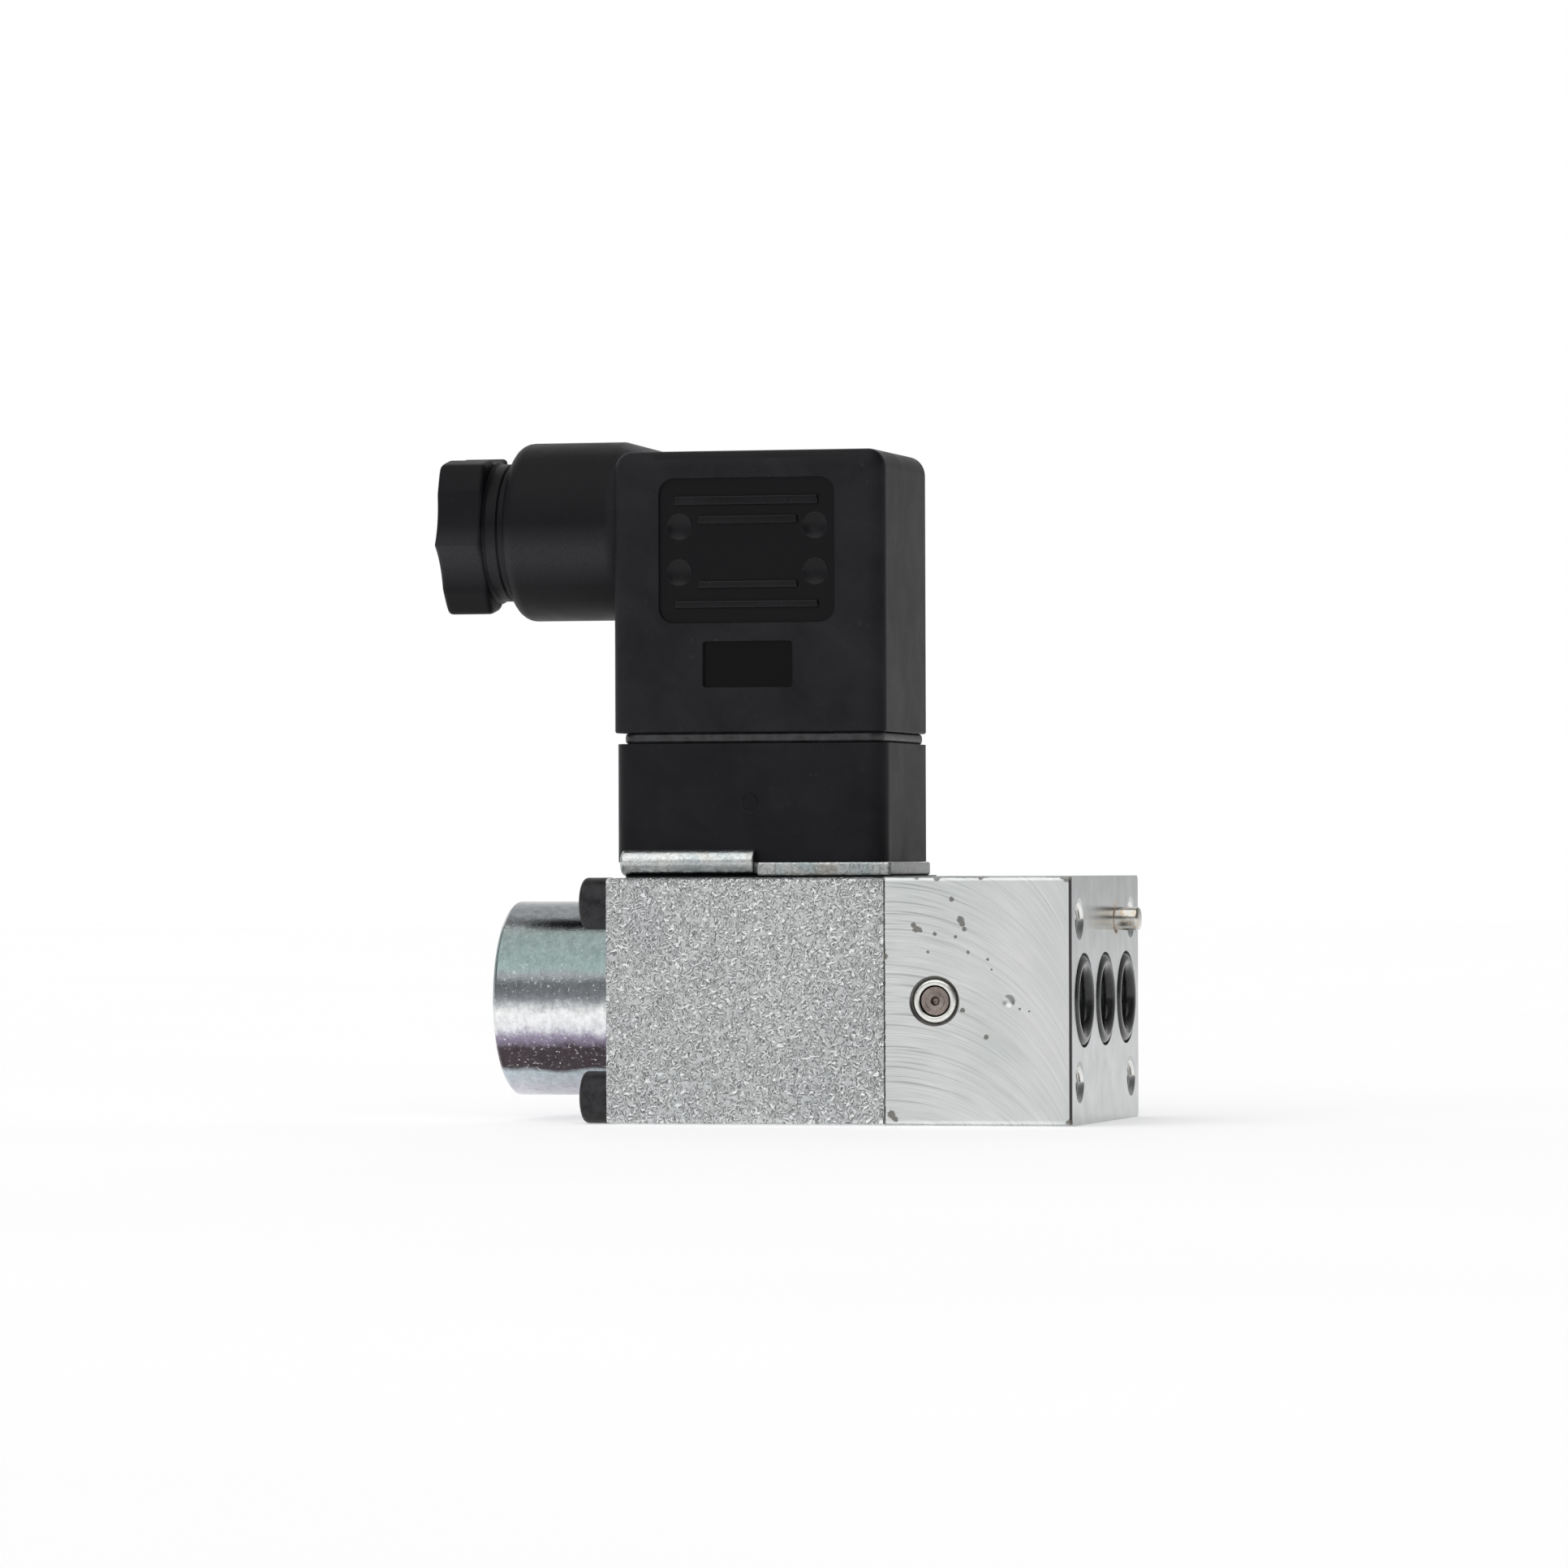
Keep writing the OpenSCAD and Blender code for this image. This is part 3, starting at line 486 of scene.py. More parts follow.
def zinc_machined():
    """Plated steel with arc-shaped milling marks on its sides and a ground port face."""
    n = Nodes("zinc_machined", (0.62, 0.63, 0.62), 1.0, 0.36)
    streaks, sides = milled(n)
    ported = n.facing("X")
    ragged = n.noise(1.9, 5.0, 0.75, warp=0.8)
    face = box_mm("valve_block")[0].y
    near = n.remap(n.axis("Y"), face + 0.4, face)
    worn = n.times(n.remap(n.noise(3.2, 4.0, 0.6), 0.69, 0.73), 0.5)
    chips = n.times(n.most(*[n.spot(x, z, radius, ragged, 1.1) for x, z, radius in CHIPS]), near)
    edges = n.times(painted_edge_shade(n, ragged), near)
    colour = n.mix(ported, sides, ground_face(n))
    colour = n.mix(worn, colour, (0.50, 0.50, 0.48))
    colour = around_pin(n, colour, ported, ragged)
    colour = hollows(n, colour)
    # Painted shade along the edges of the near face
    colour = n.mix(edges, colour, (0.045, 0.042, 0.04))
    colour = n.mix(n.times(chips, 0.85), colour, (0.17, 0.155, 0.135))
    relief = n.bump(n.times(streaks, n.remap(ported, 0, 1, 1, 0.05)), 0.022, 0.7)
    relief = n.bump(n.less(1.0, chips), 0.06, 0.8, relief)
    rough = n.calc("ADD", n.remap(ported, 0, 1, 0.38, 0.22), n.times(n.most(chips, worn), 0.3))
    metal = n.remap(n.most(chips, edges), 0, 1, 1.0, 0.4)
    return n.done(Base_Color=colour, Roughness=rough, Metallic=metal, Normal=relief)


WORM_PITCH = 0.42
WORM_BEND = 19
WORM_DIRECTIONS = ((1.0, 0.5, 0.25), (-0.3, 1.0, 0.9), (0.7, -0.8, 0.8), (-0.8, 0.6, 0.5))


def worms(n):
    """Short crooked ridges in four directions: their height, and the shaded foot of each."""
    ridge, foot = 0.0, 0.0
    for k, direction in enumerate(WORM_DIRECTIONS):
        reach = n.add("ShaderNodeVectorMath", {0: n.place, 1: direction}, operation="DOT_PRODUCT")
        bend = n.noise(1.05, 1.0, 0.5, place=n.stretch((1, 1, 1), (13 * k, 7, 3)))
        bend = n.times(bend, WORM_BEND)
        phase = n.calc("MULTIPLY_ADD", reach.outputs["Value"], 2 * math.pi / WORM_PITCH, bend)
        gate = n.remap(n.noise(1.55, 1.0, 0.5, place=n.stretch((1, 1, 1), (5, 11 * k, 1))), 0.50, 0.58)
        line = n.times(n.remap(n.calc("SINE", phase), 0.0, 1.0), gate)
        shade = n.times(n.remap(n.calc("SINE", n.calc("ADD", phase, 1.9)), 0.1, 0.9), gate)
        ridge = n.most(ridge, line)
        foot = n.most(foot, shade)
    return ridge, n.times(foot, n.less(1.0, ridge))


def zinc_etched():
    """Plated steel with a coarse etched grain of short crooked ridges, their tops painted lighter as a
    painted highlight and their feet darker as painted shade.
    """
    n = Nodes("zinc_etched", (0.72, 0.75, 0.75), 1.0, 0.3)
    ridge, foot = worms(n)
    grain = n.noise(9.0, 2.0, 0.6)
    relief = n.calc("MULTIPLY_ADD", grain, 0.25, ridge)
    cloud = n.noise(0.1, 2.0)
    # Painted highlight: the ridges lighter towards their tops
    colour = n.ramp(ridge, [(0.0, (0.68, 0.69, 0.69)), (0.5, (0.88, 0.89, 0.89)), (1.0, (1.0, 1.0, 1.0))])
    # Painted shade at the foot of each ridge
    colour = n.mix(n.times(foot, 0.85), colour, (0.15, 0.155, 0.16))
    colour = n.mix(n.remap(cloud, 0.35, 0.7, 0.0, 0.4), colour, (0.80, 0.83, 0.84), "MULTIPLY")
    dirt = n.remap(n.noise(0.8, 4.0, 0.7), 0.68, 0.75, 0.0, 0.35)
    colour = n.mix(dirt, colour, (0.34, 0.33, 0.30))
    rough = n.remap(grain, 0.3, 0.7, 0.24, 0.36)
    return n.done(Base_Color=colour, Normal=n.bump(relief, 0.12, 1.0), Roughness=rough)


# Colours of the end cap by height in millimetres, from its lower side to its upper side: its film tints
# together with painted reflections, the bright and near black bands
FILM_AND_REFLECTIONS = (
    (-10.4, (0.64, 0.62, 0.68)), (-7.8, (0.53, 0.60, 0.64)), (-7.3, (0.075, 0.06, 0.067)),
    (-5.2, (0.075, 0.06, 0.07)), (-3.9, (0.36, 0.32, 0.43)), (-2.9, (0.90, 0.91, 0.94)),
    (-1.5, (0.98, 0.99, 0.99)), (0.0, (0.34, 0.36, 0.38)), (2.6, (0.26, 0.28, 0.29)),
    (3.5, (0.26, 0.34, 0.33)), (6.8, (0.24, 0.30, 0.29)), (7.5, (0.30, 0.33, 0.33)),
    (8.3, (0.66, 0.69, 0.71)), (9.3, (0.40, 0.43, 0.45)), (10.4, (0.26, 0.27, 0.27)),
)


def zinc_bright():
    """Bright turned zinc with a blue, violet and brown film, painted reflections in bands by height, specks
    and hair scratches.
    """
    n = Nodes("zinc_bright", (0.75, 0.78, 0.8), 1.0, 0.14)
    lowest, highest = FILM_AND_REFLECTIONS[0][0], FILM_AND_REFLECTIONS[-1][0]
    drift = n.calc("MULTIPLY_ADD", n.noise(0.25, 2.0), 1.2, -0.6)
    ragged = n.calc("MULTIPLY_ADD", n.noise(1.6, 5.0, 0.75), 2.0, -1.0)
    ragged = n.times(ragged, n.remap(n.axis("Z"), -7.0, -5.5, 0.15, 1.0))
    level = n.calc("ADD", n.axis("Z"), n.calc("ADD", drift, ragged))
    # Colour by height: film tints and painted reflections, bright bands for a lit floor and a near black
    # band for the shade beneath
    colour = n.ramp(n.remap(level, lowest, highest),
                    [((z - lowest) / (highest - lowest), tone) for z, tone in FILM_AND_REFLECTIONS])
    colour = n.mix(n.facing("X", 0.8, 0.95), colour, (0.56, 0.60, 0.62))
    hair = n.noise(1.0, 3.0, 0.7, place=n.stretch((0.5, 9.0, 9.0)))
    speck = n.noise(2.6, 4.0, 0.75)
    pit = n.times(n.remap(speck, 0.59, 0.66), n.remap(n.axis("Z"), 1.0, 4.0, 1.0, 0.3))
    mottle = n.noise(1.3, 5.0, 0.8, place=n.stretch((1, 1, 0.6), (2, 8, 5)))
    colour = n.mix(n.remap(mottle, 0.42, 0.62, 0.0, 0.5), colour, (0.52, 0.52, 0.52), "MULTIPLY")
    flaw = n.remap(n.noise(3.4, 4.0, 0.75, place=n.stretch((1, 1, 1), (9, 4, 2))), 0.63, 0.68)
    wipe = n.remap(n.noise(0.9, 4.0, 0.7), 0.5, 0.75)
    colour = n.mix(n.times(flaw, 0.6), colour, (0.10, 0.10, 0.11))
    colour = n.mix(n.times(pit, 0.75), colour, (0.90, 0.90, 0.88))
    relief = n.bump(hair, 0.006, 0.5)
    relief = n.bump(speck, 0.03, 0.5, relief)
    rough = n.calc("ADD", n.remap(wipe, 0, 1, 0.10, 0.24), n.times(pit, 0.3))
    return n.done(Base_Color=colour, Roughness=rough, Normal=relief)


def zinc_sheet():
    """Sheared plated sheet: satin faces, a smoother drawn lip with a painted highlight along its streaks, a
    scored, brownish edge, and painted shade on its end faces.
    """
    n = Nodes("zinc_sheet", (0.6, 0.63, 0.62), 1.0, 0.26)
    cloud = n.noise(0.25, 2.0, 0.5, warp=0.4)
    tones = [(0.3, (0.56, 0.64, 0.66)), (0.5, (0.72, 0.75, 0.75)), (0.72, (0.84, 0.84, 0.80))]
    colour = n.ramp(cloud, tones)
    tear = n.noise(2.2, 4.0, 0.7, place=n.stretch((1.0, 1.0, 0.8)), warp=1.2)
    end_x = box_mm("base_plate")[0].x + LIP_L
    back_y = box_mm("base_plate")[0].y + 2
    drawn = n.times(n.remap(n.axis("X"), end_x, end_x - 0.1), n.remap(n.axis("Y"), back_y, back_y - 0.1))
    sheared = n.calc("MULTIPLY_ADD", drawn, -0.5, 1.0)
    streak = n.noise(2.0, 3.0, 0.6, place=n.stretch((0.3, 2.5, 2.5)))
    # Painted highlight: the drawn streaks of the lip lighter
    shine = n.times(drawn, n.remap(streak, 0.42, 0.6, 0.0, 0.4))
    colour = n.mix(shine, colour, (0.86, 0.88, 0.88))
    edge = n.most(n.facing("Y", 0.3, 0.5), n.facing("X", 0.3, 0.5))
    score = n.times(edge, n.remap(tear, 0.52, 0.38, 0.0, 0.65))
    patch = n.times(edge, n.remap(n.noise(0.45, 3.0, 0.6), 0.52, 0.60, 0.0, 0.6))
    colour = n.mix(n.times(edge, sheared), colour, (0.80, 0.80, 0.79), "MULTIPLY")
    colour = n.mix(n.times(score, sheared), colour, (0.24, 0.26, 0.26))
    colour = n.mix(n.times(patch, sheared), colour, (0.40, 0.36, 0.30))
    # Painted shade: the faces turned along X darker
    colour = n.mix(n.times(n.facing("X", 0.5, 0.8), 0.65), colour, (0.27, 0.27, 0.27))
    relief = n.bump(n.times(tear, edge, sheared), 0.12, 0.8)
    relief = n.bump(n.noise(6.0, 2.0), 0.01, 0.5, relief)
    return n.done(Base_Color=colour, Normal=relief, Roughness=n.remap(tear, 0.3, 0.7, 0.30, 0.16))


def black_oxide():
    """Blackened steel with dust specks."""
    n = Nodes("black_oxide", (0.02, 0.02, 0.022), 0.6, 0.42)
    cloud = n.noise(1.2, 4.0, 0.6)
    colour = n.ramp(cloud, [(0.3, (0.012, 0.012, 0.014)), (0.7, (0.045, 0.043, 0.046))])
    dust = n.remap(n.noise(7.0, 2.0, 0.7), 0.70, 0.74)
    colour = n.mix(n.times(dust, 0.8), colour, (0.32, 0.31, 0.30))
    return n.done(Base_Color=colour, Normal=n.bump(n.noise(9.0, 3.0, 0.7), 0.02, 0.7),
                  Roughness=n.remap(cloud, 0.3, 0.7, 0.34, 0.52))


HIGHLIGHT_BAND_Z = 47.3  # middle of the painted highlight band along the neck
HIGHLIGHT_BAND_HALF = 3.4
SHADED_UNDERSIDE_Z = 43.6  # where the painted shade on the neck's underside begins
PANEL_FLOOR_Y = 10.3  # the floors of the recesses lie further in than this
PANEL_REACH_X = 10.4  # and nearer the screw's axis than this
WINDOW_TOP_Z = 39.0


def neck_painted_light(n, colour):
    """Painted light on the neck and nut: both darker overall as painted shade, a paler, grainy band along
    both sides as a painted highlight, and a dark underside as painted shade.
    """
    neck = n.remap(n.axis("X"), PLUG_LEFT - 0.4, PLUG_LEFT - 1.2)
    away = n.calc("ABSOLUTE", n.less(n.axis("Z"), HIGHLIGHT_BAND_Z))
    grains = n.remap(n.noise(5.5, 3.0, 0.7), 0.35, 0.7, 0.55, 1.0)
    band = n.times(n.remap(away, HIGHLIGHT_BAND_HALF, 0.6), neck, grains, 0.75)
    below = n.times(n.remap(n.axis("Z"), SHADED_UNDERSIDE_Z, SHADED_UNDERSIDE_Z - 2.2), neck, 0.75)
    # Painted shade darkens the neck and nut; then a painted highlight band, and painted shade underneath
    colour = n.mix(n.times(neck, 0.7), colour, (0.003, 0.003, 0.004))
    colour = n.mix(band, colour, (0.046, 0.043, 0.050))
    return n.mix(below, colour, (0.001, 0.001, 0.0012))


def recessed(n):
    """1 on the floors of the panel and the window, on both sides of the plug."""
    side = n.calc("ABSOLUTE", n.axis("Y"))
    within = n.calc("ABSOLUTE", n.less(n.axis("X"), SCREW_X))
    deep = n.remap(side, PANEL_FLOOR_Y, PANEL_FLOOR_Y - 0.1)
    return n.times(deep, n.facing("Y"), n.remap(within, PANEL_REACH_X, PANEL_REACH_X - 0.1))


def plastic(name, base, grain_scale, grain_depth, rough, wear, plug=False, shine=0.15):
    """Moulded black plastic with its grain, faint clouds and dust; plug adds the plug's neck with its
    painted highlight and painted shade, and its darker recess floors.
    """
    n = Nodes(name, base, 0.0, rough, Specular_IOR_Level=shine)
    grain = n.noise(grain_scale, 3.0, 0.65)
    cloud = n.noise(0.16, 3.0, 0.6, warp=0.5)
    pale = tuple(c * 1.9 + 0.003 for c in base)
    colour = n.mix(n.remap(cloud, 0.3, 0.75), base, pale)
    dust = n.remap(n.noise(4.2, 3.0, 0.7, place=n.stretch((1, 1, 1), (11, 3, 7))), 0.735, 0.765)
    rub = n.remap(n.noise(0.9, 5.0, 0.75), 0.62, 0.74, 0.0, wear)
    colour = n.mix(rub, colour, (0.07, 0.07, 0.075))
    colour = n.mix(n.times(dust, 0.7), colour, (0.30, 0.28, 0.26))
    rough = n.calc("ADD", n.remap(cloud, 0.3, 0.7, rough - 0.05, rough + 0.06), n.times(dust, 0.3))
    if plug:
        colour = neck_painted_light(n, colour)
        inset = recessed(n)
        window = n.times(inset, n.remap(n.axis("Z"), WINDOW_TOP_Z, WINDOW_TOP_Z - 0.2))
        colour = n.mix(inset, colour, tuple(c * 0.55 for c in base))
        colour = n.mix(window, colour, tuple(c * 0.1 for c in base))
        grain = n.times(grain, n.remap(inset, 0, 1, 1, 0.3))
        rough = n.less(rough, n.times(inset, 0.16))
    relief = n.bump(n.noise(0.35, 2.0), 0.05, 0.5)
    relief = n.bump(grain, grain_depth, 0.8, relief)
    return n.done(Base_Color=colour, Normal=relief, Roughness=rough)


def rubber(name, rough, tone=1.0):
    """Black nitrile rubber with a fine skin and oily patches; tone lightens it."""
    n = Nodes(name, (0.012, 0.012, 0.013), 0.0, rough)
    film = n.noise(0.8, 3.0, 0.6)
    dark, light = ([c * tone for c in tint] for tint in ((0.010, 0.010, 0.011), (0.030, 0.031, 0.033)))
    colour = n.ramp(film, [(0.35, dark), (0.7, light)])
    relief = n.bump(n.noise(7.0, 3.0, 0.6), 0.012, 0.6)
    return n.done(Base_Color=colour, Normal=relief, Roughness=n.remap(film, 0.3, 0.7, rough, rough + 0.16))


def plain_metal(name, dark, light, rough, lines=(1.0, 1.0, 1.0), stain=None):
    """Turned or drawn metal: streaks along its lines, a cloudy tone and stains if asked for."""
    n = Nodes(name, light, 1.0, rough)
    streak = n.noise(3.0, 4.0, 0.7, place=n.stretch(lines))
    cloud = n.noise(0.7, 3.0, 0.6)
    share = n.calc("MULTIPLY_ADD", streak, 0.5, n.times(cloud, 0.5))
    colour = n.mix(n.remap(share, 0.35, 0.65), dark, light)
    if stain:
        colour = n.mix(n.remap(n.noise(1.6, 4.0, 0.7), 0.5, 0.68, 0.0, 0.8), colour, stain)
    return n.done(Base_Color=colour, Normal=n.bump(streak, 0.012, 0.6),
                  Roughness=n.remap(cloud, 0.3, 0.7, rough - 0.06, rough + 0.1))


MATERIALS = {
    "zinc_machined": zinc_machined(),
    "zinc_etched": zinc_etched(),
    "zinc_bright": zinc_bright(),
    "zinc_sheet": zinc_sheet(),
    "black_oxide": black_oxide(),
    "steel_ground": plain_metal("steel_ground", (0.50, 0.50, 0.50), (0.78, 0.78, 0.77), 0.20, (6, 1, 1)),
    "steel_dark": plain_metal("steel_dark", (0.20, 0.16, 0.14), (0.42, 0.36, 0.33), 0.34),
    "plug_black": plastic("plug_black", (0.0092, 0.0092, 0.0112), 6.5, 0.035, 0.46, 0.25, plug=True),
    "base_black": plastic("base_black", (0.006, 0.006, 0.0078), 9.0, 0.006, 0.46, 0.2),
    "rubber_black": rubber("rubber_black", 0.30),
    "brass_plain": plain_metal("brass_plain", (0.55, 0.38, 0.14), (0.82, 0.64, 0.30), 0.26, (6, 1, 1)),
    "copper_wire": plain_metal("copper_wire", (0.42, 0.14, 0.05), (0.72, 0.30, 0.12), 0.28, (9, 0.6, 0.6)),
    "contact_tin": plain_metal("contact_tin", (0.50, 0.49, 0.46), (0.78, 0.77, 0.73), 0.28, (1, 1, 5)),
}
RING_RUBBER = rubber("ring_rubber", 0.10)
GASKET_RUBBER = rubber("gasket_rubber", 0.34, 1.6)
PIN_STAIN = (0.60, 0.44, 0.26)
PIN_STEEL = plain_metal("pin_steel", (0.52, 0.50, 0.46), (0.86, 0.85, 0.82), 0.18, (1, 4, 4), PIN_STAIN)
SLEEVE_STEEL = plain_metal("sleeve_steel", (0.75, 0.75, 0.72), (0.95, 0.95, 0.92), 0.24)
THREAD_STEEL = plain_metal("thread_steel", (0.75, 0.74, 0.72), (0.97, 0.97, 0.95), 0.2)
PANEL_BLACK = plastic("panel_black", (0.0036, 0.0036, 0.0046), 9.0, 0.010, 0.24, 0.2, shine=0.2)

SLOT_OF = {part["node"]: part["material_slot"] for part in frame["record"]["subparts"]}
for cad_name, cad_object in frame["nodes"].items():
    cad_object.data.materials.clear()
    cad_object.data.materials.append(MATERIALS[SLOT_OF[cad_name]])


def dress_copy(node, body, edge, material=None, angle=38):
    """Replaces a node by its own shape with rounded edges."""
    made = cad_copy(node, node + "_skin", edge)
    return dress(made, body, SLOT_OF[node], [node], material, angle)


# ---------------------------------------------------------- valve and solenoid

for steel_node, steel_edge in (("coil_housing", 0.16), ("end_cap", 0.1), ("override_pin", 0.2)):
    dress_copy(steel_node, frame["nodes"][steel_node]["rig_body"], steel_edge)
dress_copy("valve_block", "root", 0.14, angle=22)
dress_copy("port_seals", "root", 0, RING_RUBBER)


def gallery_sleeve(bm):
    """Sleeve with a rounded bright lip."""
    low, high = box_mm("gallery_sleeve")
    outside, inside = (high.x - low.x) / 2, 1.6
    centre = ((low.x + high.x) / 2, 0, 0)
    front, back = -low.y, -high.y
    lip = arc(front - 0.38, outside - 0.38, 0.38, 90, 0) + arc(front - 0.16, inside + 0.2, 0.16, 0, -90)
    turned(bm, "-Y", centre, [(back, outside)] + lip + [(front - 0.5, inside), (back, inside)], closed=True)


def gallery_pin(bm):
    """Pin with a turned face, a rounded edge and a centre hole, a hair smaller than its sleeve."""
    low, high = box_mm("gallery_pin")
    radius = (high.x - low.x) / 2 - 0.07
    centre = ((low.x + high.x) / 2, 0, 0)
    front = -low.y
    edge = arc(front - 0.14, radius - 0.14, 0.14, 90, 0)
    hole = [(front, 1.02), (front - 0.06, 0.96), (front - 0.03, 0.5)]
    hole += [(front - 0.14, 0.42), (front - 0.7, 0.34), (front - 0.9, 0)]
    turned(bm, "-Y", centre, [(-high.y, 0), (-high.y, radius)] + edge + hole)


dress(shape("gallery_sleeve_lip", gallery_sleeve), "root", "steel_ground", ["gallery_sleeve"], SLEEVE_STEEL)
dress(shape("gallery_pin_face", gallery_pin), "root", "steel_dark", ["gallery_pin"])

FIXING = next(m for m in frame["record"]["mounts"] if m["name"] == "fixing_holes")["dims"]
FIXING_AT = (FIXING["spacing_x_mm"] / 2, FIXING["spacing_y_mm"] / 2)
THREAD_PITCH = 0.7
THREAD_LENGTH = 6.8
THREAD_START = -0.3


def thread(bm, y, z, radius):
    """A tapped hole's ridges: a helix of V-shaped section standing in from the wall."""
    steps = 28
    count = int(THREAD_LENGTH / THREAD_PITCH * steps)
    section = ((-0.5, 0.03), (-0.1, -0.24), (0.1, -0.24), (0.5, 0.03))
    previous = None
    for k in range(count + 1):
        angle = 2 * math.pi * k / steps
        across = Vector((0, math.cos(angle), math.sin(angle)))
        middle = Vector((THREAD_START - THREAD_PITCH * k / steps, y, z))
        points = [middle + Vector((a * THREAD_PITCH, 0, 0)) + across * (radius + b) for a, b in section]
        ring = [bm.verts.new(point) for point in points]
        if previous:
            for first, second, third, fourth in zip(previous, previous[1:], ring[1:], ring):
                bm.faces.new((first, second, third, fourth))
        previous = ring


def threads(bm):
    """The threads of the four fixing holes."""
    for y in (-FIXING_AT[0], FIXING_AT[0]):
        for z in (-FIXING_AT[1], FIXING_AT[1]):
            thread(bm, y, z, FIXING["hole_r_mm"])


dress(shape("fixing_threads", threads), "root", "zinc_machined", material=THREAD_STEEL)


def locating_pin(bm):
    """Pin with a rounded tip, a hair thinner where it stands in the block."""
    low, high = box_mm("locating_pin")
    radius = (high.y - low.y) / 2
    centre = (0, (low.y + high.y) / 2, (low.z + high.z) / 2)
    shank = [(low.x, 0), (low.x, radius - 0.2), (-0.4, radius - 0.2), (-0.3, radius)]
    tip = arc(high.x - 0.35, radius - 0.35, 0.35, 90, 0)
    turned(bm, "+X", centre, shank + tip + [(high.x, 0)])


dress(shape("locating_pin_skin", locating_pin), "root", "steel_ground", ["locating_pin"], PIN_STEEL)

SCREW_HEAD_R = 2.75
SCREW_HEAD_EDGE = 0.5
SCREW_KEY_R = 1.44
SCREW_KEY_DEPTH = 1.6
SCREW_SHANK_R = 1.45
SCREW_AT = (14.5, 10.2)


def hexagon(radius):
    """Reach of a hexagon with that corner radius, as a function of the angle."""
    def reach(angle):
        within = (angle + math.pi / 6) % (math.pi / 3) - math.pi / 6
        return radius * math.cos(math.pi / 6) / math.cos(within)
    return reach


def screws(bm):
    """Four socket head screws, each turned to its own angle."""
    low, high = box_mm("housing_screws")
    under_head = box_mm("coil_housing")[0].x
    key = hexagon(SCREW_KEY_R)
    bottom = low.x + SCREW_KEY_DEPTH
    edge = arc(low.x + SCREW_HEAD_EDGE, SCREW_HEAD_R - SCREW_HEAD_EDGE, SCREW_HEAD_EDGE, 180, 90)
    profile = [(bottom + 0.5, 0), (bottom, key), (low.x + 0.12, key), (low.x, hexagon(SCREW_KEY_R + 0.14))]
    profile += edge + [(under_head - 0.1, SCREW_HEAD_R), (under_head, SCREW_HEAD_R - 0.1)]
    profile += [(under_head, SCREW_SHANK_R), (high.x - 0.3, SCREW_SHANK_R)]
    profile += [(high.x, SCREW_SHANK_R - 0.3), (high.x, 0)]
    for y in (-SCREW_AT[0], SCREW_AT[0]):
        for z in (-SCREW_AT[1], SCREW_AT[1]):
            turned(bm, "+X", (0, y, z), profile, sides=72, twist=0.3 * y)


dress(shape("housing_screw_heads", screws), "root", "black_oxide", ["housing_screws"])

# ---------------------------------------------------------------- terminal base

PLATE_T = 1.45
PLATE_FAR_R = 4.4
PLATE_EDGE = 0.3
PLATE_WINDOW = (7.0, 7.2)  # half sizes of the window under the terminal base
LIP_R = 1.4
LIP_RELIEF = 0.35


def left_of(x, y):
    return -y, x


def corner_ring(corners, inset, level, steps=6):
    """Ring round a path of square corners (x, y, radius), taken counter-clockwise and drawn in by inset."""
    points = []
    for k, (x, y, radius) in enumerate(corners):
        before, after = corners[k - 1], corners[(k + 1) % len(corners)]
        come = Vector((x - before[0], y - before[1])).normalized()
        leave = Vector((after[0] - x, after[1] - y)).normalized()
        convex = come.cross(leave) > 0
        bend = radius - inset if convex else radius + inset
        left = Vector(left_of(*come)) * (1 if convex else -1)
        corner = Vector((x, y)) + (Vector(left_of(*come)) + Vector(left_of(*leave))) * inset
        middle = corner - come * bend + left * bend
        for step in range(steps + 1):
            turn = math.pi / 2 * step / steps
            point = middle + (come * math.sin(turn) - left * math.cos(turn)) * bend
            points.append((point.x, point.y, level))
    return points


def plate_sheet(bm):
    """Flat sheet, set back behind the lip, with die-rounded edges."""
    low, high = box_mm("base_plate")
    step_x, step_y = low.x + LIP_L + LIP_RELIEF, low.y + LIP_R
    corners = [(low.x, step_y, 0.35), (step_x, step_y, 0.1), (step_x, low.y, 0.35), (high.x, low.y, 0.45),
               (high.x, high.y, PLATE_FAR_R), (low.x, high.y, 0.35)]
    turns = [math.pi / 2 * k / 4 for k in range(5)]
    inside = [PLATE_EDGE * (1 - math.sin(t)) for t in turns]
    rise = [PLATE_EDGE * (1 - math.cos(t)) for t in turns]
    rings = [corner_ring(corners, d, low.z + r) for d, r in zip(inside, rise)]
    rings += [corner_ring(corners, d, low.z + PLATE_T - r) for d, r in zip(inside[::-1], rise[::-1])]
    loft(bm, rings)


def plate_lip(bm):
    """Half-round lip along the left of the near edge, with rounded ends."""
    low = box_mm("base_plate")[0]
    y, z = low.y + LIP_R, low.z + LIP_R
    ends = [(0.0, 0.42), (0.08, 0.22), (0.2, 0.09), (0.42, 0.0)]
    stations = [(low.x + x, LIP_R - cut) for x, cut in ends]
    stations += [(low.x + LIP_L - x * 0.5, LIP_R - cut * 0.5) for x, cut in ends[::-1]]
    turns = [math.pi * k / 24 for k in range(25)]
    rings = []
    for x, radius in stations:
        bow = [(x, y - radius * math.sin(t), z - radius * math.cos(t)) for t in turns]
        rings.append(bow + [(x, y + 0.1, z + radius), (x, y + 0.1, z - radius)])
    loft(bm, rings)


def plate():
    """The sheet with its window cut out and its lip added."""
    sheet = shape("base_plate_sheet", plate_sheet)
    low, high = box_mm("base_plate")
    half_x, half_y = PLATE_WINDOW
    window = shape("window", block, (SCREW_X - half_x, -half_y, low.z - 1),
                   (SCREW_X + half_x, half_y, high.z))
    combine(sheet, [window], "DIFFERENCE")
    combine(sheet, [shape("lip", plate_lip)], "UNION")
    return sheet


dress(plate(), "root", "zinc_sheet", ["base_plate"])

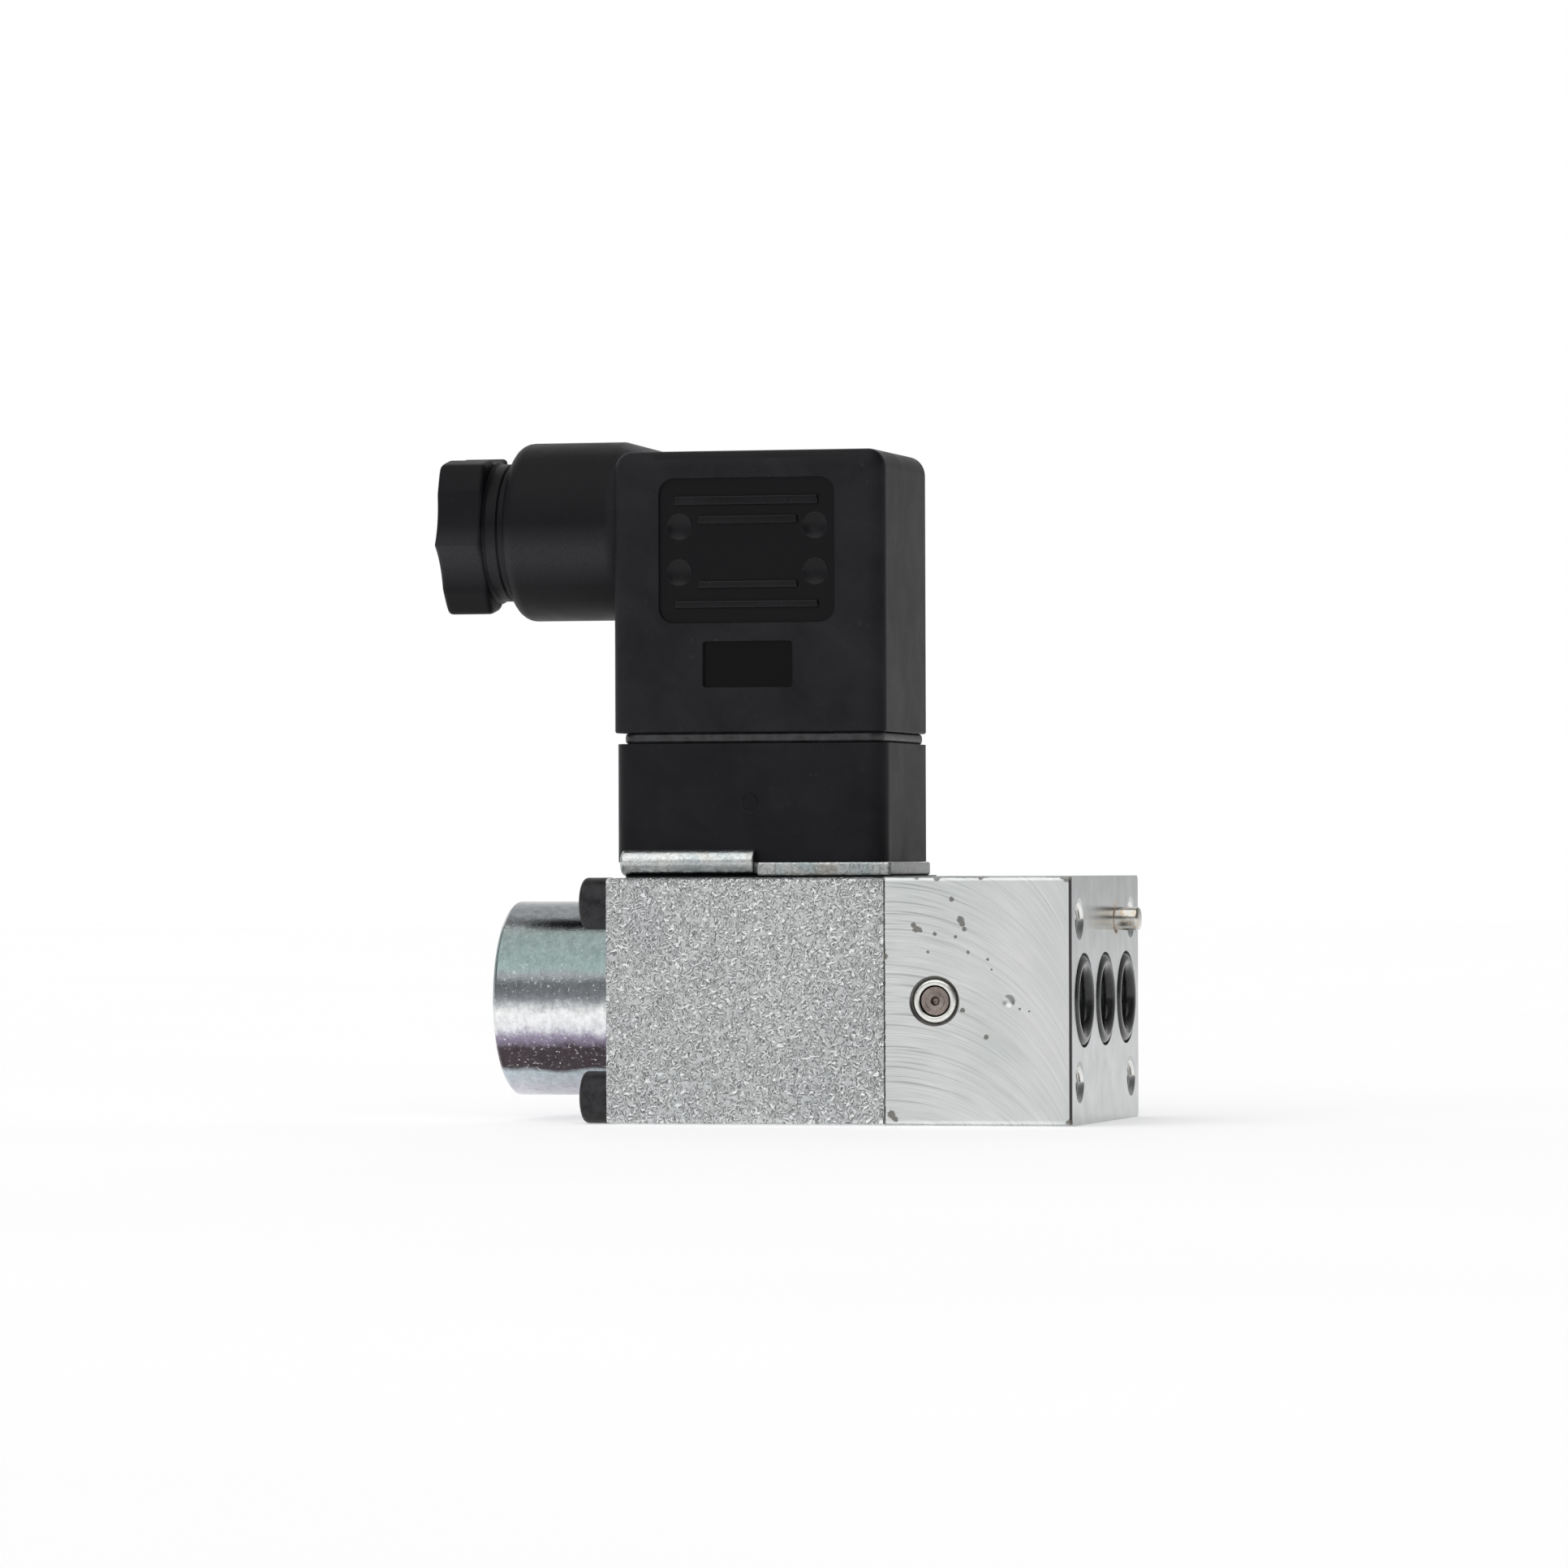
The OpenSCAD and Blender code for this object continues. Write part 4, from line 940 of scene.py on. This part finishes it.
GATE_AT = (-36.1, 20.8)
GATE_REACH = (0.875, 1.15)
GATE_PROFILE = ((1.0, 0.2), (1.0, -0.03), (0.86, -0.05), (0.80, 0.02), (0.3, 0.03))  # reach, depth


def gate_mark(bm):
    """The oval scar of the moulding gate on the near side."""
    face = box_mm("plug_housing")[0].y
    turns = [2 * math.pi * k / 32 for k in range(32)]
    rings = []
    for reach, depth in GATE_PROFILE:
        x_reach, z_reach = GATE_REACH[0] * reach, GATE_REACH[1] * reach
        rings.append([(GATE_AT[0] + x_reach * math.cos(t), face + depth, GATE_AT[1] + z_reach * math.sin(t))
                      for t in turns])
    loft(bm, rings)


dress_copy("terminal_base", "root", 0.25)
dress(shape("gate_mark", gate_mark), "root", "base_black", material=PANEL_BLACK)


GASKET_HOLE = ((-46.4, -7.4), (-24.6, 7.4), 0.6)  # low corner, high corner, corner radius
# The bead outside: steps out of its outline, and shares of its height
GASKET_BEAD = (
    (-0.45, 0.0), (-0.2, 0.04), (-0.06, 0.16), (0.0, 0.34), (0.0, 0.62), (-0.05, 0.82), (-0.18, 0.95),
    (-0.45, 1.0),
)


def gasket(bm):
    """Profile gasket: a rounded bead outside, flat faces and the hole inside."""
    low, high = box_mm("plug_gasket")
    corner = 1.6
    inner = [(low.x + corner, low.y + corner), (high.x - corner, high.y - corner)]
    thick = high.z - low.z
    rings = [plan_ring(*inner, (corner + out, corner + out), low.z + thick * up) for out, up in GASKET_BEAD]
    (x0, y0), (x1, y1), bend = GASKET_HOLE
    hole = [(x0 + bend, y0 + bend), (x1 - bend, y1 - bend)]
    rings += [plan_ring(*hole, (bend, bend), level) for level in (high.z, low.z)]
    loft(bm, rings, closed=True)


dress(shape("gasket_bead", gasket), "plug", "rubber_black", ["plug_gasket"], GASKET_RUBBER, 60)

# ------------------------------------------------------------------------- plug

PLUG_LOW, PLUG_HIGH = box_mm("plug_housing")
PLUG_TOP = 58.1
PLUG_REACH = (1.9, 1.35, 2.1)  # half axes of the rounded corners
WALL = 1.5
ROOF = 1.8
NECK_Z = 50.1
NECK_R = 9.575
NECK_FULL_X = -52.2  # up to here the neck keeps its radius
NECK_ROOT = (-46, 7.9)  # x and radius of its end inside the body
NECK_BEND = 1.7
GLAND_BORE = (-54.2, 7.45)  # x of its end, radius
CABLE_WAY = (-55, 5.5)  # x of its start, radius
TOWERS = ((41.35, 3.1), (43.4, 4.6))  # z of the lower end, radius
SCREW_HOLE_R = 1.7
WELL = (2.4, 3.4)  # depth and radius of the room for the screw's head
# Low corner and high corner in x and z, corner radius, depth
PANEL = ((-45.9, 39.9), (-26.9, 55.1), 1.6, 0.4)
WINDOW = ((-41.1, 33.1), (-31.5, 37.8), 0.25, 0.5)
# Ribs on the panel: from x to x, from z to z
RIBS = (
    (-44.3, -28.65, 52.3, 53.3), (-41.8, -30.9, 50.3, 51.2),
    (-41.8, -30.9, 43.5, 44.3), (-44.3, -28.65, 41.4, 42.2),
)
EJECTORS = ((-43.8, 50.05), (-29.0, 50.05), (-43.8, 45.2), (-29.0, 45.2))
# An ejector mark: height over the panel's floor, radius
EJECTOR_PROFILE = ((-0.2, 0), (-0.2, 1.42), (0.03, 1.42), (0.05, 1.36), (0.015, 1.3), (0.015, 0))


def plug_shell(bm):
    """Outside of the plug: a box whose corners are quarter ellipsoids, with a flat foot."""
    a, b, c = PLUG_REACH
    inner = [(PLUG_LEFT + a, PLUG_LOW.y + b), (PLUG_HIGH.x - a, PLUG_HIGH.y - b)]
    rings = [plan_ring(*inner, (a - 0.15, b - 0.15), PLUG_LOW.z)]
    rings.append(plan_ring(*inner, (a, b), PLUG_LOW.z + 0.15))
    steps = 8
    for k in range(steps + 1):
        turn = math.pi / 2 * k / steps
        flat = max(math.cos(turn), 0.02)
        rings.append(plan_ring(*inner, (a * flat, b * flat), PLUG_TOP - c + c * math.sin(turn)))
    loft(bm, rings)


def neck(bm):
    """Cable neck: a rounded end, a straight part, and a taper that ends inside the body."""
    round_end = arc(PLUG_LOW.x + NECK_BEND, NECK_R - NECK_BEND, NECK_BEND, 180, 90)
    root = [(NECK_FULL_X, NECK_R), NECK_ROOT, (NECK_ROOT[0], 0)]
    turned(bm, "+X", (0, 0, NECK_Z), [(PLUG_LOW.x, 0)] + round_end + root)


def room(bm):
    """The room inside the plug, open below."""
    block(bm, (PLUG_LEFT + WALL, PLUG_LOW.y + WALL, PLUG_LOW.z - 1),
          (PLUG_HIGH.x - WALL, PLUG_HIGH.y - WALL, PLUG_TOP - ROOF))


def post(bm, start, end, radius, along="+Z", centre=(SCREW_X, 0, 0)):
    """A cylinder from start to end, about the middle screw's axis unless told otherwise."""
    turned(bm, along, centre, [(start, 0), (start, radius), (end, radius), (end, 0)])


def ribs(bm, side):
    """Raised ribs and ejector marks on the panel of one side: -1 near, 1 far."""
    face = side * -PLUG_LOW.y
    floor = face - side * (PANEL[3] + 0.2)
    for x0, x1, z0, z1 in RIBS:
        front = face - side * 0.06
        block(bm, (x0, min(front, floor), z0), (x1, max(front, floor), z1), 0.17)
    level = side * (face - side * PANEL[3])
    disc = [(-side * (level + rise), radius) for rise, radius in EJECTOR_PROFILE]
    for x, z in EJECTORS:
        turned(bm, "-Y", (x, 0, z), disc, sides=40)


def plug_cuts():
    """Everything that is cut out of the plug's body."""
    cavity = shape("room", room)
    towers = [shape("tower", post, bottom, PLUG_TOP, radius) for bottom, radius in TOWERS]
    combine(cavity, towers, "DIFFERENCE")
    neck_axis = ("+X", (0, 0, NECK_Z))
    gland_end, gland_r = GLAND_BORE
    way_start, way_r = CABLE_WAY
    cuts = [
        cavity,
        shape("screw_hole", post, PLUG_LOW.z, PLUG_TOP + 1, SCREW_HOLE_R),
        shape("well", post, PLUG_TOP - WELL[0], PLUG_TOP + 1, WELL[1]),
        shape("gland", post, PLUG_LOW.x - 1, gland_end, gland_r, *neck_axis),
        shape("way", post, way_start, PLUG_LEFT + WALL + 1, way_r, *neck_axis),
    ]
    for side in (-1, 1):
        face = side * -PLUG_LOW.y
        for low, high, radius, depth in (PANEL, WINDOW):
            floor_y, mouth_y = face - side * depth, face + side * 0.5
            cuts.append(shape("recess", slab, low, high, radius, floor_y, mouth_y, flare=0.2))
    return cuts


def plug_body():
    """The plug's box with its neck, hollow, with the recesses of its panels and windows."""
    body = shape("plug_body", plug_shell)
    combine(body, [shape("neck", neck)], "UNION")
    combine(body, plug_cuts(), "DIFFERENCE")
    soften(body, 0.1)
    return body


dress(plug_body(), "plug", "plug_black", ["plug_housing"])
for rib_side, rib_name in ((-1, "panel_ribs_near"), (1, "panel_ribs_far")):
    dress(shape(rib_name, ribs, rib_side), "plug", "plug_black", material=PANEL_BLACK)

NUT_CORNER = 9.5
NUT_GROOVE_R = 9
NUT_GROOVE = 0.94
NUT_GROOVE_SHIFT = 2.55  # each groove leans towards the next odd corner
NUT_ROLL = 11  # angle of a corner from +Y
NUT_HEAD = 5.1
NUT_BORE = 4.25
NUT_COLLAR = 7.4
NUT_COLLAR_X = -64.9  # where the collar steps down to the thread
NUT_THREAD_R = 7.2
NUT_EDGE = 0.55


def nut_reach(inset):
    """Reach of the grooved hexagon, drawn in by inset, with blunt corners."""
    flat = NUT_CORNER * math.cos(math.pi / 6)
    groove_at = flat + NUT_GROOVE_R - NUT_GROOVE

    def reach(angle):
        turn = angle - math.radians(NUT_ROLL)
        within = turn % (math.pi / 3) - math.pi / 6
        lean = NUT_GROOVE_SHIFT if math.floor(turn / (math.pi / 3)) % 2 == 0 else -NUT_GROOVE_SHIFT
        side = flat / math.cos(within)
        side = -math.log(math.exp(-side * 6) + math.exp(-(NUT_CORNER - 0.15) * 6)) / 6
        ahead = groove_at * math.cos(within) + lean * math.sin(within)
        under = ahead ** 2 - (groove_at ** 2 + lean ** 2 - NUT_GROOVE_R ** 2)
        if under > 0:
            groove = ahead - math.sqrt(under)
            side = -math.log(math.exp(-side * 14) + math.exp(-groove * 14)) / 14
        return side - inset
    return reach


def nut(bm):
    """Gland nut: a grooved hexagon head with rounded ends, a collar, and the bore."""
    low, high = box_mm("gland_nut")
    edge = NUT_EDGE
    head_end = low.x + NUT_HEAD
    steps = 5
    turns = [math.pi / 2 * k / steps for k in range(steps + 1)]
    insets = [edge - edge * math.cos(t) for t in turns]
    start = [(low.x + edge - edge * math.sin(t), nut_reach(inset)) for t, inset in zip(turns, insets)]
    end = [(head_end - edge + edge * math.sin(t), nut_reach(inset)) for t, inset in zip(turns, insets)]
    collar = [(head_end, NUT_COLLAR + 0.25), (head_end + 0.3, NUT_COLLAR), (NUT_COLLAR_X, NUT_COLLAR),
              (NUT_COLLAR_X + 0.2, NUT_THREAD_R), (high.x - 0.3, NUT_THREAD_R), (high.x, NUT_THREAD_R - 0.3)]
    bore = [(high.x, NUT_BORE), (low.x + 0.4, NUT_BORE), (low.x, NUT_BORE + 0.5)]
    profile = start[::-1] + end + collar + bore
    turned(bm, "+X", (0, 0, NECK_Z), profile, closed=True, sides=288)


dress(shape("gland_nut_skin", nut), "nut", "plug_black", ["gland_nut"], angle=30)
dress_copy("plug_screw", "plug_screw", 0.15)

# ------------------------------------------------------- floor, light and camera

FLOOR_HALF = 3.0


def plain(name, colour, glow):
    """A matt, faintly cloudy surface that glows a little."""
    n = Nodes(name, colour, 0.0, 0.9)
    tone = n.ramp(n.noise(0.01, 2.0), [(0.3, tuple(c * 0.98 for c in colour)), (0.7, colour)])
    return n.done(Base_Color=tone, Emission_Color=(1, 1, 1, 1), Emission_Strength=glow)


def floor(bm):
    bmesh.ops.create_grid(bm, x_segments=1, y_segments=1, size=FLOOR_HALF / MM,
                          matrix=Matrix.Translation((0, 0, cad_bounds[0].z / MM)))


def stage_floor():
    made = shape("floor", floor)
    made.data.materials.append(plain("floor_white", (0.92, 0.92, 0.92), 0.41))


# Grey levels of the surround by height angle, from level in front over the top to level behind
SURROUND = (
    (0.0, 0.58), (0.16, 0.45), (0.24, 0.25), (0.48, 0.25), (0.51, 0.12), (0.57, 0.2), (0.66, 0.55),
    (0.88, 1.0),
)


def world():
    """Soft studio surround: white behind, dark above, a greyer room in front and at the right."""
    made = bpy.data.worlds.new("studio")
    made.use_nodes = True
    bpy.context.scene.world = made
    n = Tree(made.node_tree)
    parts = n.add("ShaderNodeSeparateXYZ", {0: n.add("ShaderNodeTexCoord").outputs["Generated"]})
    front = n.times(parts.outputs["Y"], -1)
    turn = n.calc("ARCTAN2", n.calc("ABSOLUTE", parts.outputs["Z"]), front)
    tones = [(where, (value, value, value * 1.01)) for where, value in SURROUND]
    grey = n.ramp(n.remap(turn, 0, math.pi), tones)
    side = n.remap(parts.outputs["X"], -0.08, 0.18, 1.0, 0.42)
    dimmed = n.add("ShaderNodeVectorMath", {0: grey, "Scale": side}, operation="SCALE").outputs[0]
    n.fill(made.node_tree.nodes["Background"], {"Color": dimmed, "Strength": 1.0})


def soft_sun(towards, spread, strength):
    """One broad overhead source, spread degrees wide, so that the whole floor is lit evenly."""
    light = bpy.data.lights.new("softbox", "SUN")
    light.angle = math.radians(spread)
    light.energy = strength
    made = bpy.data.objects.new("softbox", light)
    made.rotation_mode = "QUATERNION"
    made.rotation_quaternion = Vector(towards).to_track_quat("Z", "Y")
    bpy.context.scene.collection.objects.link(made)


# The camera's place and roll reproduce the photograph's viewing angle
CAMERA_AZIMUTH = 13.8983
CAMERA_ELEVATION = -0.6249
CAMERA_ROLL = -0.1811
CAMERA_DISTANCE = 836.014
CAMERA_TARGET = (-25.0, 0.0, 20.0)
CAMERA_SLIDE = (-9.673, 2.82)
CAMERA_LENS = 180.19


def camera():
    """The camera that looks at the valve from the photograph's side."""
    azimuth, elevation = math.radians(CAMERA_AZIMUTH), math.radians(CAMERA_ELEVATION)
    roll = math.radians(CAMERA_ROLL)
    back = Vector((math.sin(azimuth) * math.cos(elevation), -math.cos(azimuth) * math.cos(elevation),
                   math.sin(elevation)))
    level = Vector((math.cos(azimuth), math.sin(azimuth), 0))
    upright = back.cross(level)
    right = level * math.cos(roll) + upright * math.sin(roll)
    up = upright * math.cos(roll) - level * math.sin(roll)
    place = Vector(CAMERA_TARGET) + right * CAMERA_SLIDE[0] + up * CAMERA_SLIDE[1] + back * CAMERA_DISTANCE
    data = bpy.data.cameras.new("camera")
    data.sensor_width = 36
    data.lens = CAMERA_LENS
    data.clip_start, data.clip_end = 0.05, 20
    made = bpy.data.objects.new("camera", data)
    turn = Matrix((right, up, back)).transposed().to_4x4()
    made.matrix_world = Matrix.Translation(place * MM) @ turn
    bpy.context.scene.collection.objects.link(made)
    bpy.context.scene.camera = made


stage_floor()
world()
soft_sun((-0.15, -0.5, 0.87), 74, 1.2)
camera()
bpy.context.scene.view_settings.view_transform = "Standard"
